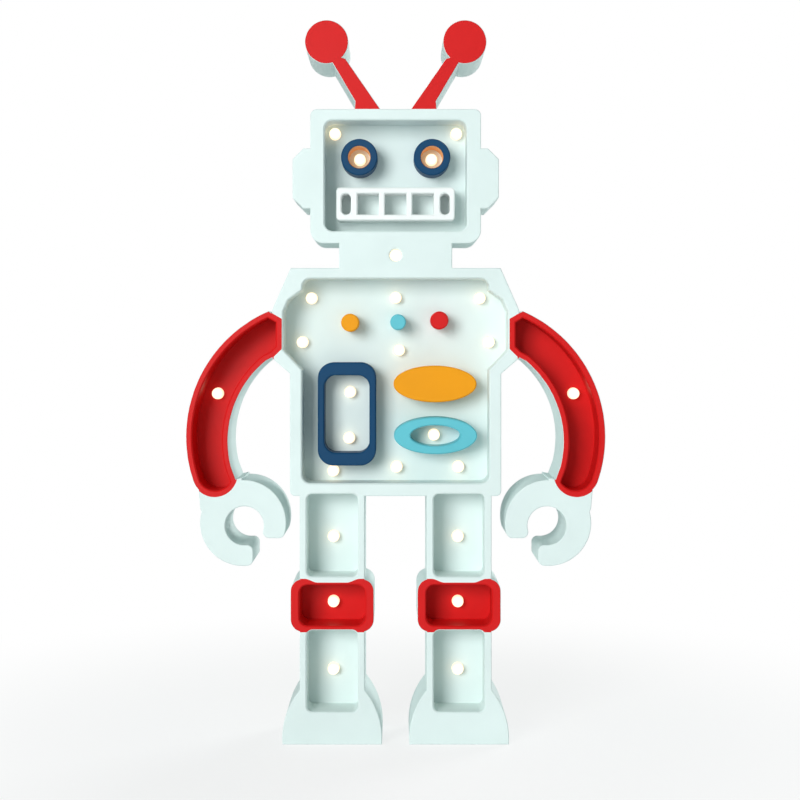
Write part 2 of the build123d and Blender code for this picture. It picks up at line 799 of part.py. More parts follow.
# ================================================================ driver board
board_front_y = cavity_floor_y + board_stand
board_back_y = board_front_y + board_sheet
board_hole_x = board_width / 2 - board_hole_inset
board_hole_z = board_height / 2 - board_hole_inset
board_holes = [
    (board_place[0] + side * board_hole_x, board_place[1] + end * board_hole_z)
    for side in (-1, 1)
    for end in (-1, 1)
]
mid_string_pins = [
    (board_place[0] + offset_x, board_place[1] + end * (board_height / 2 - pin_inset))
    for end, offsets in ((1, head_pin_offsets), (-1, leg_pin_offsets))
    for offset_x in offsets
]
side_string_pins = [
    (board_place[0] + side * (board_width / 2 - pin_inset), board_place[1] + offset_z)
    for side in (-1, 1)
    for offset_z in arm_pin_offsets
]
string_pins = mid_string_pins + side_string_pins

with BuildPart() as driver_board:
    with BuildSketch(facing_front(board_back_y)):
        with Locations(board_place):
            Rectangle(board_width, board_height)
        with Locations(*board_holes):
            Circle(board_hole_radius, mode=Mode.SUBTRACT)
        with Locations(*string_pins):
            Circle(pin_radius + pin_clearance, mode=Mode.SUBTRACT)
    extrude(amount=board_sheet)
write("driver_board", driver_board.part)

with BuildPart() as board_pins:
    with BuildSketch(facing_front(board_back_y + pin_stub)):
        with Locations(*string_pins):
            Circle(pin_radius)
    extrude(amount=board_back_y + pin_stub - cavity_floor_y - string_wire_lift)
write("board_pins", board_pins.part)

with BuildPart() as board_spacers:
    with BuildSketch(facing_front(board_front_y)):
        with Locations(*board_holes):
            Circle(spacer_radius)
            Circle(board_hole_radius, mode=Mode.SUBTRACT)
    extrude(amount=board_stand)
write("board_spacers", board_spacers.part)

with BuildPart() as board_screws:
    with BuildSketch(facing_front(board_back_y)):
        with Locations(*board_holes):
            Circle(board_screw_radius)
    extrude(amount=board_sheet + board_stand)
    with BuildSketch(facing_front(board_back_y + board_screw_head_height)):
        with Locations(*board_holes):
            Circle(board_screw_head_radius)
    extrude(amount=board_screw_head_height)
    with BuildSketch(facing_front(board_back_y + board_screw_head_height)):
        with Locations(*board_holes):
            Rectangle(board_slot_length, slot_width)
            Rectangle(slot_width, board_slot_length)
    extrude(amount=slot_depth, mode=Mode.SUBTRACT)
write("board_screws", board_screws.part)

with BuildPart() as driver_coil:
    with BuildSketch(facing_front(board_back_y + coil_height)):
        with Locations(coil_place):
            Circle(coil_radius)
    extrude(amount=coil_height)
    with BuildSketch(facing_front(board_back_y + coil_height - coil_flange)):
        with Locations(coil_place):
            Circle(coil_radius)
            Circle(coil_radius - coil_groove, mode=Mode.SUBTRACT)
    extrude(amount=coil_height - 2 * coil_flange, mode=Mode.SUBTRACT)
write("driver_coil", driver_coil.part)

with BuildPart() as coil_winding:
    with BuildSketch(facing_front(board_back_y + coil_height - coil_flange - component_gap)):
        with Locations(coil_place):
            Circle(coil_radius - coil_flange)
            Circle(coil_radius - coil_groove + component_gap, mode=Mode.SUBTRACT)
    extrude(amount=coil_height - 2 * coil_flange - 2 * component_gap)
write("coil_winding", coil_winding.part)

with BuildPart() as driver_capacitor:
    can_start = Plane(
        origin=(capacitor_place[0], board_back_y + capacitor_radius + component_gap, capacitor_place[1]),
        x_dir=(0, 0, 1),
        z_dir=(1, 0, 0),
    )
    with BuildSketch(can_start):
        Circle(capacitor_radius)
    extrude(amount=capacitor_length)
    chamfer(driver_capacitor.faces().filter_by(Axis.X).edges(), capacitor_edge)
write("driver_capacitor", driver_capacitor.part)

with BuildPart() as driver_chip:
    with BuildSketch(facing_front(board_back_y + chip_thickness)):
        with Locations(chip_place):
            Rectangle(chip_width, chip_height)
    extrude(amount=chip_thickness - chip_lift)
    with BuildSketch(facing_front(board_back_y + chip_thickness / 2)):
        with Locations(chip_place):
            with GridLocations(0, chip_leg_pitch, 1, 4):
                Rectangle(chip_leg_span, chip_leg_width)
    extrude(amount=chip_thickness / 2 - component_gap)
write("driver_chip", driver_chip.part)

with BuildPart() as string_resistors:
    with BuildSketch(facing_front(board_back_y + resistor_size[2] + component_gap)):
        with Locations((board_place[0], resistor_row_z)):
            with GridLocations(resistor_pitch, 0, 5, 1):
                Rectangle(resistor_size[0], resistor_size[1])
    extrude(amount=resistor_size[2])
write("string_resistors", string_resistors.part)

# ================================================================ supply inlet
with BuildPart() as inlet_barrel:
    with BuildSketch(facing_front(panel_outer_y + inlet_flange_thickness)):
        with Locations(inlet_place):
            Circle(inlet_flange_radius)
    extrude(amount=inlet_flange_thickness)
    with BuildSketch(facing_front(panel_outer_y)):
        with Locations(inlet_place):
            Circle(inlet_barrel_radius)
    extrude(amount=inlet_barrel_length)
    with BuildSketch(facing_front(panel_outer_y - inlet_barrel_length)):
        with Locations(inlet_place):
            Circle(inlet_cap_radius)
    extrude(amount=inlet_cap_length)
    with BuildSketch(facing_front(panel_outer_y + inlet_flange_thickness)):
        with Locations(inlet_place):
            Circle(inlet_bore_radius)
    extrude(amount=inlet_bore_depth, mode=Mode.SUBTRACT)
    chamfer(inlet_barrel.faces().sort_by(Axis.Y)[-1].edges(), inlet_edge)
inlet_end_y = panel_outer_y - inlet_barrel_length - inlet_cap_length
inlet_bore_end_y = panel_outer_y + inlet_flange_thickness - inlet_bore_depth
write("inlet_barrel", inlet_barrel.part)

with BuildPart() as inlet_nut:
    with BuildSketch(facing_front(panel_inner_y)):
        with Locations(inlet_place):
            RegularPolygon(inlet_nut_size / 2, 6, major_radius=False)
            Circle(inlet_barrel_radius + inlet_fit / 2, mode=Mode.SUBTRACT)
    extrude(amount=inlet_nut_thickness)
write("inlet_nut", inlet_nut.part)

with BuildPart() as inlet_pin:
    with BuildSketch(facing_front(inlet_bore_end_y + inlet_pin_length)):
        with Locations(inlet_place):
            Circle(inlet_pin_radius)
    extrude(amount=inlet_pin_length)
    fillet(inlet_pin.faces().sort_by(Axis.Y)[-1].edges(), inlet_pin_tip)
write("inlet_pin", inlet_pin.part)

inlet_tag_places = [(inlet_place[0] + side * inlet_tag_offset, inlet_place[1]) for side in (-1, 1)]
with BuildPart() as inlet_tags:
    with BuildSketch(facing_front(inlet_end_y)):
        with Locations(*inlet_tag_places):
            Rectangle(tag_thickness, tag_width)
    extrude(amount=inlet_end_y - tag_end_y)
write("inlet_tags", inlet_tags.part)


# ================================================================ rocker switch
def across(depth, tilt=0.0):
    """Plane across the switch at a depth below the panel, turned by tilt degrees.

    Its x runs outwards and its y upwards along the rocker; extrusions run across the panel.
    """
    turn = radians(tilt)
    return Plane(
        origin=(switch_place[0], panel_outer_y - depth, switch_place[1]),
        x_dir=(0, cos(turn), sin(turn)),
        z_dir=(1, 0, 0),
    )


body_half = switch_body_height / 2
inner_half = body_half - switch_wall
inner_width = switch_body_width - 2 * switch_wall
rocker_width = inner_width - 2 * rocker_side_clearance
with BuildPart() as switch_housing:
    with BuildSketch(facing_front(panel_outer_y + switch_bezel_thickness)):
        with Locations(switch_place):
            RectangleRounded(switch_bezel_width, switch_bezel_height, switch_bezel_radius)
    extrude(amount=switch_bezel_thickness)
    with BuildSketch(facing_front(panel_outer_y)):
        with Locations(switch_place):
            Rectangle(switch_body_width, switch_body_height)
    extrude(amount=switch_body_depth)
    with BuildSketch(facing_front(panel_outer_y + switch_bezel_thickness)):
        with Locations(switch_place):
            Rectangle(inner_width, 2 * inner_half)
    extrude(amount=switch_bezel_thickness + rocker_stop_depth, mode=Mode.SUBTRACT)
    with BuildSketch(facing_front(panel_outer_y - rocker_stop_depth)):
        with Locations(switch_place):
            Rectangle(inner_width, 2 * (inner_half - rocker_stop_width))
    extrude(amount=switch_body_depth - switch_floor - rocker_stop_depth, mode=Mode.SUBTRACT)
    with BuildSketch(across(rocker_pivot_depth)):
        Circle(rocker_stub_radius + rocker_stub_clearance)
    stub_reach = rocker_width / 2 + rocker_stub_length + rocker_stub_clearance
    extrude(amount=stub_reach, both=True, mode=Mode.SUBTRACT)
    with BuildSketch(facing_front(panel_outer_y - switch_body_depth + switch_floor)):
        with Locations(*[(switch_place[0], switch_place[1] + step * contact_offset) for step in (-1, 0, 1)]):
            Rectangle(contact_width, contact_thickness)
    extrude(amount=switch_floor, mode=Mode.SUBTRACT)
    with BuildSketch(across(0)):
        for end in (-1, 1):
            with BuildLine():
                Polyline(
                    (-panel_thickness - barb_gap, end * body_half),
                    (-panel_thickness - barb_gap, end * (body_half + barb_height)),
                    (-panel_thickness - barb_gap - barb_length, end * body_half),
                    close=True,
                )
            make_face()
    extrude(amount=barb_width / 2, both=True)
write("switch_housing", switch_housing.part)

with BuildPart() as switch_rocker:
    with BuildSketch(across(rocker_pivot_depth, rocker_tilt)):
        Circle(rocker_radius)
        with BuildLine():
            Polyline(
                (-rocker_under, -rocker_radius),
                (2 * rocker_horn - rocker_waist, -rocker_radius),
                (rocker_waist, 0),
                (2 * rocker_horn - rocker_waist, rocker_radius),
                (-rocker_under, rocker_radius),
                close=True,
            )
        make_face(mode=Mode.INTERSECT)
    extrude(amount=rocker_width / 2, both=True)
    with BuildSketch(across(rocker_pivot_depth, rocker_tilt)):
        with Locations((-rocker_under, 0)):
            Rectangle(boss_depth - rocker_under, boss_size, align=(Align.MAX, Align.CENTER))
    extrude(amount=boss_size / 2, both=True)
    with BuildSketch(across(rocker_pivot_depth)):
        Circle(rocker_stub_radius)
    extrude(amount=rocker_width / 2 + rocker_stub_length, both=True)
    boss_end = across(rocker_pivot_depth, rocker_tilt)
    bore_plane = Plane(
        origin=boss_end.from_local_coords((-boss_depth, 0, 0)),
        x_dir=(1, 0, 0),
        z_dir=boss_end.x_dir,
    )
    with BuildSketch(bore_plane):
        Circle(plunger_radius + plunger_clearance)
    extrude(amount=plunger_bore_depth, mode=Mode.SUBTRACT)
write("switch_rocker", switch_rocker.part)

with BuildPart() as switch_plunger:
    tip_plane = Plane(
        origin=boss_end.from_local_coords((-plunger_reach, 0, 0)),
        x_dir=(1, 0, 0),
        z_dir=boss_end.x_dir,
    )
    with BuildSketch(tip_plane):
        Circle(plunger_radius)
    extrude(amount=plunger_length)
    fillet(switch_plunger.faces().sort_by(Axis.Y)[0].edges(), plunger_radius * 0.9)
write("switch_plunger", switch_plunger.part)

spring_plane = Plane(
    origin=boss_end.from_local_coords((-plunger_reach + plunger_length + component_gap, 0, 0)),
    x_dir=(1, 0, 0),
    z_dir=boss_end.x_dir,
)
spring_height = plunger_bore_depth - boss_depth + plunger_reach - plunger_length - 4 * component_gap
with BuildPart() as switch_spring:
    with BuildLine():
        coil_line = Helix(
            spring_pitch, spring_height - 2 * spring_wire_radius, spring_radius,
            center=spring_plane.offset(spring_wire_radius).origin, direction=spring_plane.z_dir,
        )
    with BuildSketch(Plane(origin=coil_line @ 0, z_dir=coil_line % 0)):
        Circle(spring_wire_radius)
    sweep(path=coil_line, is_frenet=True)
write("switch_spring", switch_spring.part)

with BuildPart() as switch_lever:
    with BuildSketch(across(lever_pivot_depth, -lever_tilt)):
        Rectangle(lever_thickness, 2 * lever_half_length)
    extrude(amount=lever_width / 2, both=True)
write("switch_lever", switch_lever.part)

lever_under_depth = lever_pivot_depth + lever_thickness / 2 + lever_clearance
contact_drop = contact_offset * sin(radians(lever_tilt)) + lever_thickness / 2 * (1 - cos(radians(lever_tilt)))
contact_depth = lever_under_depth + contact_drop
with BuildPart() as switch_terminals:
    for step, top_depth in ((-1, contact_depth), (0, lever_under_depth), (1, contact_depth)):
        with BuildSketch(facing_front(panel_outer_y - top_depth)):
            with Locations((switch_place[0], switch_place[1] + step * contact_offset)):
                Rectangle(contact_width - 2 * component_gap, contact_thickness - 2 * component_gap)
        extrude(amount=panel_outer_y - top_depth - tag_end_y)
write("switch_terminals", switch_terminals.part)


# ================================================================ wiring
def lead_of(place, side):
    """Lead of a light on one side, where a wire is joined to it."""
    return (place[0] + side * lead_spacing / 2, place[1])


def shortened(start, end, from_start, from_end):
    """A straight run with a length taken off each end."""
    run, rise = end[0] - start[0], end[1] - start[1]
    length = hypot(run, rise)
    along = (run / length, rise / length)
    return (
        (start[0] + along[0] * from_start, start[1] + along[1] * from_start),
        (end[0] - along[0] * from_end, end[1] - along[1] * from_end),
    )


def lay_wire(points, start_gap, end_gap, radius, y):
    """Insulated wire through the given points at depth y, kept clear of what it is joined to."""
    points = list(points)
    points[0] = shortened(points[0], points[1], start_gap, 0)[0]
    points[-1] = shortened(points[-2], points[-1], 0, end_gap)[1]
    with BuildLine(facing_front(y)) as path:
        if len(points) > 2:
            FilletPolyline(*points, radius=wire_bend)
        else:
            Line(*points)
    with BuildSketch(Plane(origin=path.line @ 0, z_dir=path.line % 0)) as section:
        Circle(radius)
    sweep(sections=section.sketch, path=path.line)


def clearance_to_line(point, start, end):
    """Distance of a point from a straight run."""
    run, rise = end[0] - start[0], end[1] - start[1]
    length = hypot(run, rise)
    along = ((point[0] - start[0]) * run + (point[1] - start[1]) * rise) / length
    along = min(max(along, 0.0), length)
    return hypot(point[0] - start[0] - run * along / length, point[1] - start[1] - rise * along / length)


def arriving_side(before, place, after):
    """Side of a light where the arriving wire is joined, keeping each wire off the other's lead."""
    def room(side):
        arriving, leaving = lead_of(place, side), lead_of(place, -side)
        return min(clearance_to_line(leaving, before, arriving), clearance_to_line(arriving, leaving, after))
    return max((-1, 1), key=room)


def series_string(name, points):
    """Lights wired one after another between two pins; the other points only guide the wire."""
    wire_y = cavity_floor_y + string_wire_lift + string_wire_radius
    lead_gap = lead_radius + joint_gap
    pin_gap = pin_radius + joint_gap
    lit = set(floor_lights + (neck_light,))
    with BuildPart() as wiring:
        run, start_gap = [points[0]], pin_gap
        for before, place, after in zip(points, points[1:], points[2:]):
            if place not in lit:
                run.append(place)
                continue
            side = arriving_side(before, place, after)
            lay_wire(run + [lead_of(place, side)], start_gap, lead_gap, string_wire_radius, wire_y)
            run, start_gap = [lead_of(place, -side)], lead_gap
        lay_wire(run + [points[-1]], start_gap, pin_gap, string_wire_radius, wire_y)
    write(name, wiring.part)


def arm_lane(side, shift, angles):
    """Guide points along the channel of an arm, shifted outwards from its middle."""
    lane = [on_circle(arm_middle_centre, arm_middle_radius + shift, angle) for angle in angles]
    return [(side * x, z) for x, z in lane]


def chest_guide(side, beyond, below):
    """Guide point near a shoulder, by its distance past the torso's side and under its top."""
    return (side * (torso_half_width + beyond), torso_top - below)


head_left, head_right, eye_left, eye_right = head_lights
(chest_top_left, chest_top, chest_top_right, flank_left, flank_right, chest_middle,
 window_high, window_low, oval_light, belly_left, belly_middle, belly_right) = torso_lights
head_out, head_back, leg_left_out, leg_left_back, leg_right_back, leg_right_out = mid_string_pins
arm_left_back, arm_left_out, arm_right_back, arm_right_out = side_string_pins
series_string("wiring_head", [
    head_out, chest_middle, chest_top, neck_light, eye_left, head_left,
    (-14.0, head_top - 23.6), (14.0, head_top - 23.6), head_right, eye_right,
    (12.0, head_bottom + 6.0), (12.0, torso_top - 38.9), head_back,
])
for name, side, out_pin, shoulder, flank, arm, back in (
    ("wiring_arm_left", -1, arm_left_out, chest_top_left, flank_left, arm_lights[0],
     [window_high, arm_left_back]),
    ("wiring_arm_right", 1, arm_right_out, chest_top_right, flank_right, arm_lights[1],
     [arm_right_back]),
):
    series_string(name, [
        out_pin, shoulder, flank, chest_guide(side, 7.1, 42.7),
        *arm_lane(side, arm_lane_shift, (57, 44, 32)), arm,
        *arm_lane(side, -arm_lane_shift, (31, 43, 54)),
        chest_guide(side, 9.6, 47.9), chest_guide(side, 2.1, 48.3), chest_guide(side, -2.9, 60.4),
        chest_guide(side, -14.9, 68.9), *back,
    ])
for name, side, out_pin, chest, back in (
    ("wiring_leg_left", -1, leg_left_out, (window_low, belly_left), [belly_middle, leg_left_back]),
    ("wiring_leg_right", 1, leg_right_out, (oval_light, belly_right),
     [(12.0, torso_bottom + 34.5), leg_right_back]),
):
    series_string(name, [
        out_pin, *chest, *[(side * leg_x, height) for height in leg_light_heights],
        (side * (leg_x - 8.5), 70.0), (side * (leg_x - 8.5), 178.0), (side * 27.0, 189.5), *back,
    ])

# The lower terminal feeds the board, the middle one comes from the inlet; the upper is spare.
tag_side = contact_width / 2
common_tag = (switch_place[0] + tag_side, switch_place[1])
live_tag = (switch_place[0] - tag_side, switch_place[1] - contact_offset)
left_tag, right_tag = inlet_tag_places
with BuildPart() as supply_wires:
    lay_wire(
        (right_tag, (20.0, 203.5), (43.0, 222.0), (49.0, 262.0), (45.0, 287.0), common_tag),
        tag_thickness / 2 + joint_gap, joint_gap, supply_wire_radius, supply_wire_y,
    )
    lay_wire(
        (live_tag, (24.0, 283.0), (17.0, 272.0), (17.0, 254.0)),
        joint_gap, 0, supply_wire_radius, supply_wire_y,
    )
    lay_wire(
        (left_tag, (-14.0, 204.0), (-19.0, 214.0), (-19.0, 236.0)),
        tag_thickness / 2 + joint_gap, 0, supply_wire_radius, supply_wire_y,
    )
write("supply_wires", supply_wires.part)
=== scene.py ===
"""Looks of a robot-shaped desk lamp: painted board, glued trim, lit lamps, back fittings and studio."""
import json
import math
from functools import cache

import bmesh
import bpy
import numpy as np
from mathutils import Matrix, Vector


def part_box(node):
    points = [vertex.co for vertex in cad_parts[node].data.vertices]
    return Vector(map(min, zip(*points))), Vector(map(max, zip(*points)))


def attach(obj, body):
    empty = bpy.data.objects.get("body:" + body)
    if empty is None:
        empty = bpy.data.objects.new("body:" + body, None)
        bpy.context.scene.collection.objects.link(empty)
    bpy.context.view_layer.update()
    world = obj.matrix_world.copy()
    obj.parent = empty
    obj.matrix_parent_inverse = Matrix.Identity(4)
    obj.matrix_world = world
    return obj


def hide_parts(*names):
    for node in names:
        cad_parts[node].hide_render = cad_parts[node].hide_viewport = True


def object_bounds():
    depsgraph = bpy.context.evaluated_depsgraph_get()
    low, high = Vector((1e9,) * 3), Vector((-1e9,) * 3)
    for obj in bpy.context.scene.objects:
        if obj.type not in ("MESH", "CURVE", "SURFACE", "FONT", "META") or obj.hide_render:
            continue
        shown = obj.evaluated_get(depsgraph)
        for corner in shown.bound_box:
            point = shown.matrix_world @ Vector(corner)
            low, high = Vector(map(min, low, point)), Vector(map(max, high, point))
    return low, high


bl_info = {
    "name": "Robot Lamp Finish",
    "version": (1, 0, 0),
    "blender": (4, 5, 0),
    "location": "View3D > Sidebar > Robot Lamp",
    "description": "Paints, lights and small fittings of a robot-shaped desk lamp",
    "category": "Object",
}

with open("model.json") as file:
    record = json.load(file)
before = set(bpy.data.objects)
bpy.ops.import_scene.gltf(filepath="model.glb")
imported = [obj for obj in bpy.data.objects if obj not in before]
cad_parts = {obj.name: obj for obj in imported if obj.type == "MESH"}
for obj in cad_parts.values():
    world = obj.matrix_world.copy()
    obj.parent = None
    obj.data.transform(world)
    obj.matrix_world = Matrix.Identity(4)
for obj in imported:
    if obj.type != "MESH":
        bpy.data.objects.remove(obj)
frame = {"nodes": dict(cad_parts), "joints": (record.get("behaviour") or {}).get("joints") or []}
cad_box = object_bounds()
MM = 0.001
BODY = "lamp_body"
ROCKER = "rocker"

BOARD_BLOCKS = ("head_block", "torso_block")
LEG_BLOCKS = ("leg_left", "leg_right")
ARM_BLOCKS = ("arm_left", "arm_right")
ANTENNA_BLOCKS = ("antenna_left", "antenna_right")
EYE_RINGS = ("eye_ring_left", "eye_ring_right")
LIGHT_GROUPS = ("lights_head", "light_neck", "lights_torso", "lights_arms", "lights_legs")
SERIES_WIRES = ("wiring_head", "wiring_arm_left", "wiring_arm_right", "wiring_leg_left", "wiring_leg_right")


def linear(code):
    """Linear red, green, blue and alpha of an sRGB hex colour."""
    shares = np.array([int(code[start:start + 2], 16) for start in (1, 3, 5)]) / 255
    low, high = shares / 12.92, ((shares + 0.055) / 1.055) ** 2.4
    return (*np.where(shares <= 0.04045, low, high).tolist(), 1.0)


def colour_choice(name, code, use):
    """Property for one colour that a user may change."""
    return bpy.props.FloatVectorProperty(
        name=name, description=use, subtype="COLOR", size=4, min=0.0, max=1.0, default=linear(code),
    )


class RobotLampPaints(bpy.types.PropertyGroup):
    """Colours and grain of the painted wood."""
    pale: colour_choice("Pale mint", "#E1EEEC", "Paint of the body, its side walls and recess floors")
    red: colour_choice("Red", "#D61213", "Paint of the arm and knee bands, the antennas and one peg")
    navy: colour_choice("Navy", "#003F66", "Paint of the eye rings and the window frame")
    white: colour_choice("White", "#F4F7F6", "Paint of the mouth")
    orange: colour_choice("Orange", "#EE9B04", "Paint of the upper oval and one peg")
    cyan: colour_choice("Cyan", "#63C1CF", "Paint of the lower oval and one peg")
    grain_width: bpy.props.FloatProperty(
        name="Grain width", description="Spacing of the wood grain that shows through the paint",
        unit="LENGTH", min=0.0003, max=0.01, default=1.4 * MM,
    )
    gloss: bpy.props.FloatProperty(
        name="Roughness", description="Roughness of the satin paint", subtype="FACTOR",
        min=0.05, max=1.0, default=0.5,
    )


class RobotLampLights(bpy.types.PropertyGroup):
    """Warm white lights in the recess floors."""
    lens: colour_choice("Lens", "#FFF4DC", "Colour of the diffusing lens")
    glow: colour_choice("Glow", "#FFE0BA", "Colour of the light given off")
    strength: bpy.props.FloatProperty(
        name="Strength", description="Brightness of a lit lens", min=0.0, max=50.0, default=2.4,
    )


class RobotLampStudio(bpy.types.PropertyGroup):
    """Camera and studio light."""
    distance: bpy.props.FloatProperty(
        name="Camera distance", description="From the camera to the front of the lamp",
        unit="LENGTH", min=0.3, max=5.0, default=0.99,
    )
    height: bpy.props.FloatProperty(
        name="Camera height", description="Height of the camera over the table",
        unit="LENGTH", min=0.0, max=2.0, default=0.274,
    )
    key_power: bpy.props.FloatProperty(
        name="Key light", description="Power of the large soft light at the upper left",
        subtype="POWER", unit="POWER", min=0.0, max=500.0, default=104.0,
    )
    back_power: bpy.props.FloatProperty(
        name="Back light", description="Power of the soft light behind the lamp",
        subtype="POWER", unit="POWER", min=0.0, max=500.0, default=74.0,
    )
    fill: bpy.props.FloatProperty(
        name="Fill", description="Strength of the even light from all round",
        min=0.0, max=3.0, default=0.36,
    )


# ------------------------------------------------------------------------------ building materials
def add(tree, kind, links=None, **settings):
    """Adds a node with its settings; a link is a socket to join or a value to set.

    In a Mix node, 0 is the share, 2 and 3 are the two values, and 6 and 7 the two colours.
    """
    made = tree.nodes.new(kind)
    for key, value in settings.items():
        setattr(made, key, value)
    for socket, value in (links or {}).items():
        if isinstance(value, bpy.types.NodeSocket):
            tree.links.new(value, made.inputs[socket])
        else:
            made.inputs[socket].default_value = value
    return made


def new_material(name):
    """Empty node material and its tree."""
    material = bpy.data.materials.new(name)
    material.use_nodes = True
    material.node_tree.nodes.clear()
    return material, material.node_tree


def close(tree, shader):
    """Joins the shader to the material's output."""
    add(tree, "ShaderNodeOutputMaterial", {"Surface": shader.outputs[0]})


def place_of(tree):
    """Object coordinates and their three parts, in metres."""
    place = add(tree, "ShaderNodeTexCoord").outputs["Object"]
    parts = add(tree, "ShaderNodeSeparateXYZ", {0: place})
    return place, parts.outputs[0], parts.outputs[1], parts.outputs[2]


def tested(tree, tests):
    """For each test, a value, LESS_THAN or GREATER_THAN and a limit: 1 where it holds, else 0."""
    return [
        add(tree, "ShaderNodeMath", {0: value, 1: limit}, operation=side).outputs[0]
        for value, side, limit in tests
    ]


def within(tree, *shares):
    """Product of shares: 1 only where all of them are."""
    product = shares[0]
    for share in shares[1:]:
        product = add(tree, "ShaderNodeMath", {0: product, 1: share}, operation="MULTIPLY").outputs[0]
    return product


def either(tree, first, second):
    """1 where one of two shares is."""
    return add(tree, "ShaderNodeMath", {0: first, 1: second}, operation="MAXIMUM").outputs[0]


# ------------------------------------------------------------------------------ painted wood
GRAIN_RUN = 16.0
ROLLER_PITCH = 0.9 * MM
CLOUD_WIDTH = 45.5 * MM
# Noise lies between these values almost everywhere.
MIDDLE_OF_NOISE = {"From Min": 0.3, "From Max": 0.7}


def satin_paint(name, colour, paints, second_coat=None):
    """Water-based acrylic rolled on sanded wood.

    It gives an even colour with a broad soft sheen and no mirror, through which long grain and the
    roller's fine stipple show when light grazes it. The stipple is drawn a little coarser than real,
    so that it shows. second_coat takes the tree and the paints, and gives a second colour and the
    share of the surface that it covers.
    """
    material, tree = new_material(name)
    place = place_of(tree)[0]
    along = add(tree, "ShaderNodeMapping", {"Vector": place, "Scale": (1.0, 1.0, 1.0 / GRAIN_RUN)})
    grain = add(tree, "ShaderNodeTexNoise", {
        "Vector": along.outputs[0], "Scale": 1.0 / paints.grain_width, "Detail": 3.0, "Roughness": 0.6,
    })
    roller = add(tree, "ShaderNodeTexNoise", {"Vector": place, "Scale": 1.0 / ROLLER_PITCH, "Detail": 2.0})
    clouds = add(tree, "ShaderNodeTexNoise", {"Vector": place, "Scale": 1.0 / CLOUD_WIDTH, "Detail": 3.0})
    patch = add(tree, "ShaderNodeMapRange", {
        "Value": clouds.outputs[0], **MIDDLE_OF_NOISE, "To Min": 0.94, "To Max": 1.0,
    })
    base = colour
    if second_coat:
        second, share = second_coat(tree, paints)
        base = add(tree, "ShaderNodeMix", {0: share, 6: colour, 7: second}, data_type="RGBA").outputs[2]
    shaded = add(tree, "ShaderNodeMix", {0: 1.0, 6: base, 7: patch.outputs[0]},
                 data_type="RGBA", blend_type="MULTIPLY")
    sheen = add(tree, "ShaderNodeMapRange", {
        "Value": clouds.outputs[0], **MIDDLE_OF_NOISE,
        "To Min": paints.gloss - 0.05, "To Max": paints.gloss + 0.07,
    })
    relief = add(tree, "ShaderNodeMix", {0: 0.4, 2: grain.outputs[0], 3: roller.outputs[0]})
    bump = add(tree, "ShaderNodeBump", {
        "Height": relief.outputs[0], "Strength": 0.45, "Distance": 0.08 * MM,
    })
    shader = add(tree, "ShaderNodeBsdfPrincipled", {
        "Base Color": shaded.outputs[2], "Roughness": sheen.outputs[0], "Specular IOR Level": 0.22,
        "Normal": bump.outputs[0],
    })
    close(tree, shader)
    return material


# Front faces end this far behind the foremost one; the masked paint line wanders about it.
FRONT_LINE = cad_box[0][1] + 0.28 * MM
LINE_WANDER = 0.3 * MM
WANDER_LENGTH = 6.25 * MM
# Recess floors lie in front of this depth, and the inside of the lamp behind it.
POCKET_DEPTH = 2.0 * MM


def front_share(tree, depth, place):
    """1 on the front faces up to their edge, with the slight wander of a masked paint line."""
    wander = add(tree, "ShaderNodeTexNoise", {"Vector": place, "Scale": 1.0 / WANDER_LENGTH, "Detail": 1.0})
    line = add(tree, "ShaderNodeMath", {
        0: wander.outputs[0], 1: LINE_WANDER, 2: FRONT_LINE - LINE_WANDER / 2,
    }, operation="MULTIPLY_ADD")
    return add(tree, "ShaderNodeMath", {0: depth, 1: line.outputs[0]}, operation="LESS_THAN").outputs[0]


# An arm's outline from the front. The walls are radii in the middle of its thin rims, so the pocket's
# walls are red and the arm's outer sides pale. An end at the shoulder is a straight line through
# (across, height) with a slope.
ARM_OUTER_CENTRE = (50.2 * MM, 0.0, 212.4 * MM)
ARM_INNER_CENTRE = (43.9 * MM, 0.0, 209.3 * MM)
ARM_OUTER_WALL = 92.5 * MM
ARM_INNER_WALL = 74.0 * MM
WRIST_CENTRE = (125.0 * MM, 0.0, 186.7 * MM)
WRIST_RADIUS = 15.9 * MM
SHOULDER_TOP = (78.6 * MM, 293.8 * MM, 0.59)
SHOULDER_FOOT = (78.6 * MM, 273.0 * MM, -0.98)
ARMPIT_X = 84.1 * MM


def arm_band(tree, paints):
    """Red on an arm's front and in its pocket, from the shoulder to a round end at the wrist."""
    place, x, y, z = place_of(tree)
    across = add(tree, "ShaderNodeMath", {0: x}, operation="ABSOLUTE").outputs[0]
    flat = add(tree, "ShaderNodeCombineXYZ", {0: across, 2: z}).outputs[0]
    outer, inner, wrist = (
        add(tree, "ShaderNodeVectorMath", {0: flat, 1: centre}, operation="DISTANCE").outputs[1]
        for centre in (ARM_OUTER_CENTRE, ARM_INNER_CENTRE, WRIST_CENTRE)
    )
    top, foot = (
        add(tree, "ShaderNodeMath", {0: across, 1: slope, 2: height - slope * start},
            operation="MULTIPLY_ADD").outputs[0]
        for start, height, slope in (SHOULDER_TOP, SHOULDER_FOOT)
    )
    inside, outside, shallow, over_wrist, round_wrist, under_top, over_foot, past_armpit = tested(tree, (
        (outer, "LESS_THAN", ARM_OUTER_WALL),
        (inner, "GREATER_THAN", ARM_INNER_WALL),
        (y, "LESS_THAN", POCKET_DEPTH),
        (z, "GREATER_THAN", WRIST_CENTRE[2]),
        (wrist, "LESS_THAN", WRIST_RADIUS),
        (z, "LESS_THAN", top),
        (z, "GREATER_THAN", foot),
        (across, "GREATER_THAN", ARMPIT_X),
    ))
    painted = either(tree, front_share(tree, y, place), within(tree, inside, outside, shallow))
    hand_end = either(tree, over_wrist, round_wrist)
    shoulder_end = either(tree, over_foot, past_armpit)
    return paints.red, within(tree, painted, hand_end, under_top, shoulder_end)


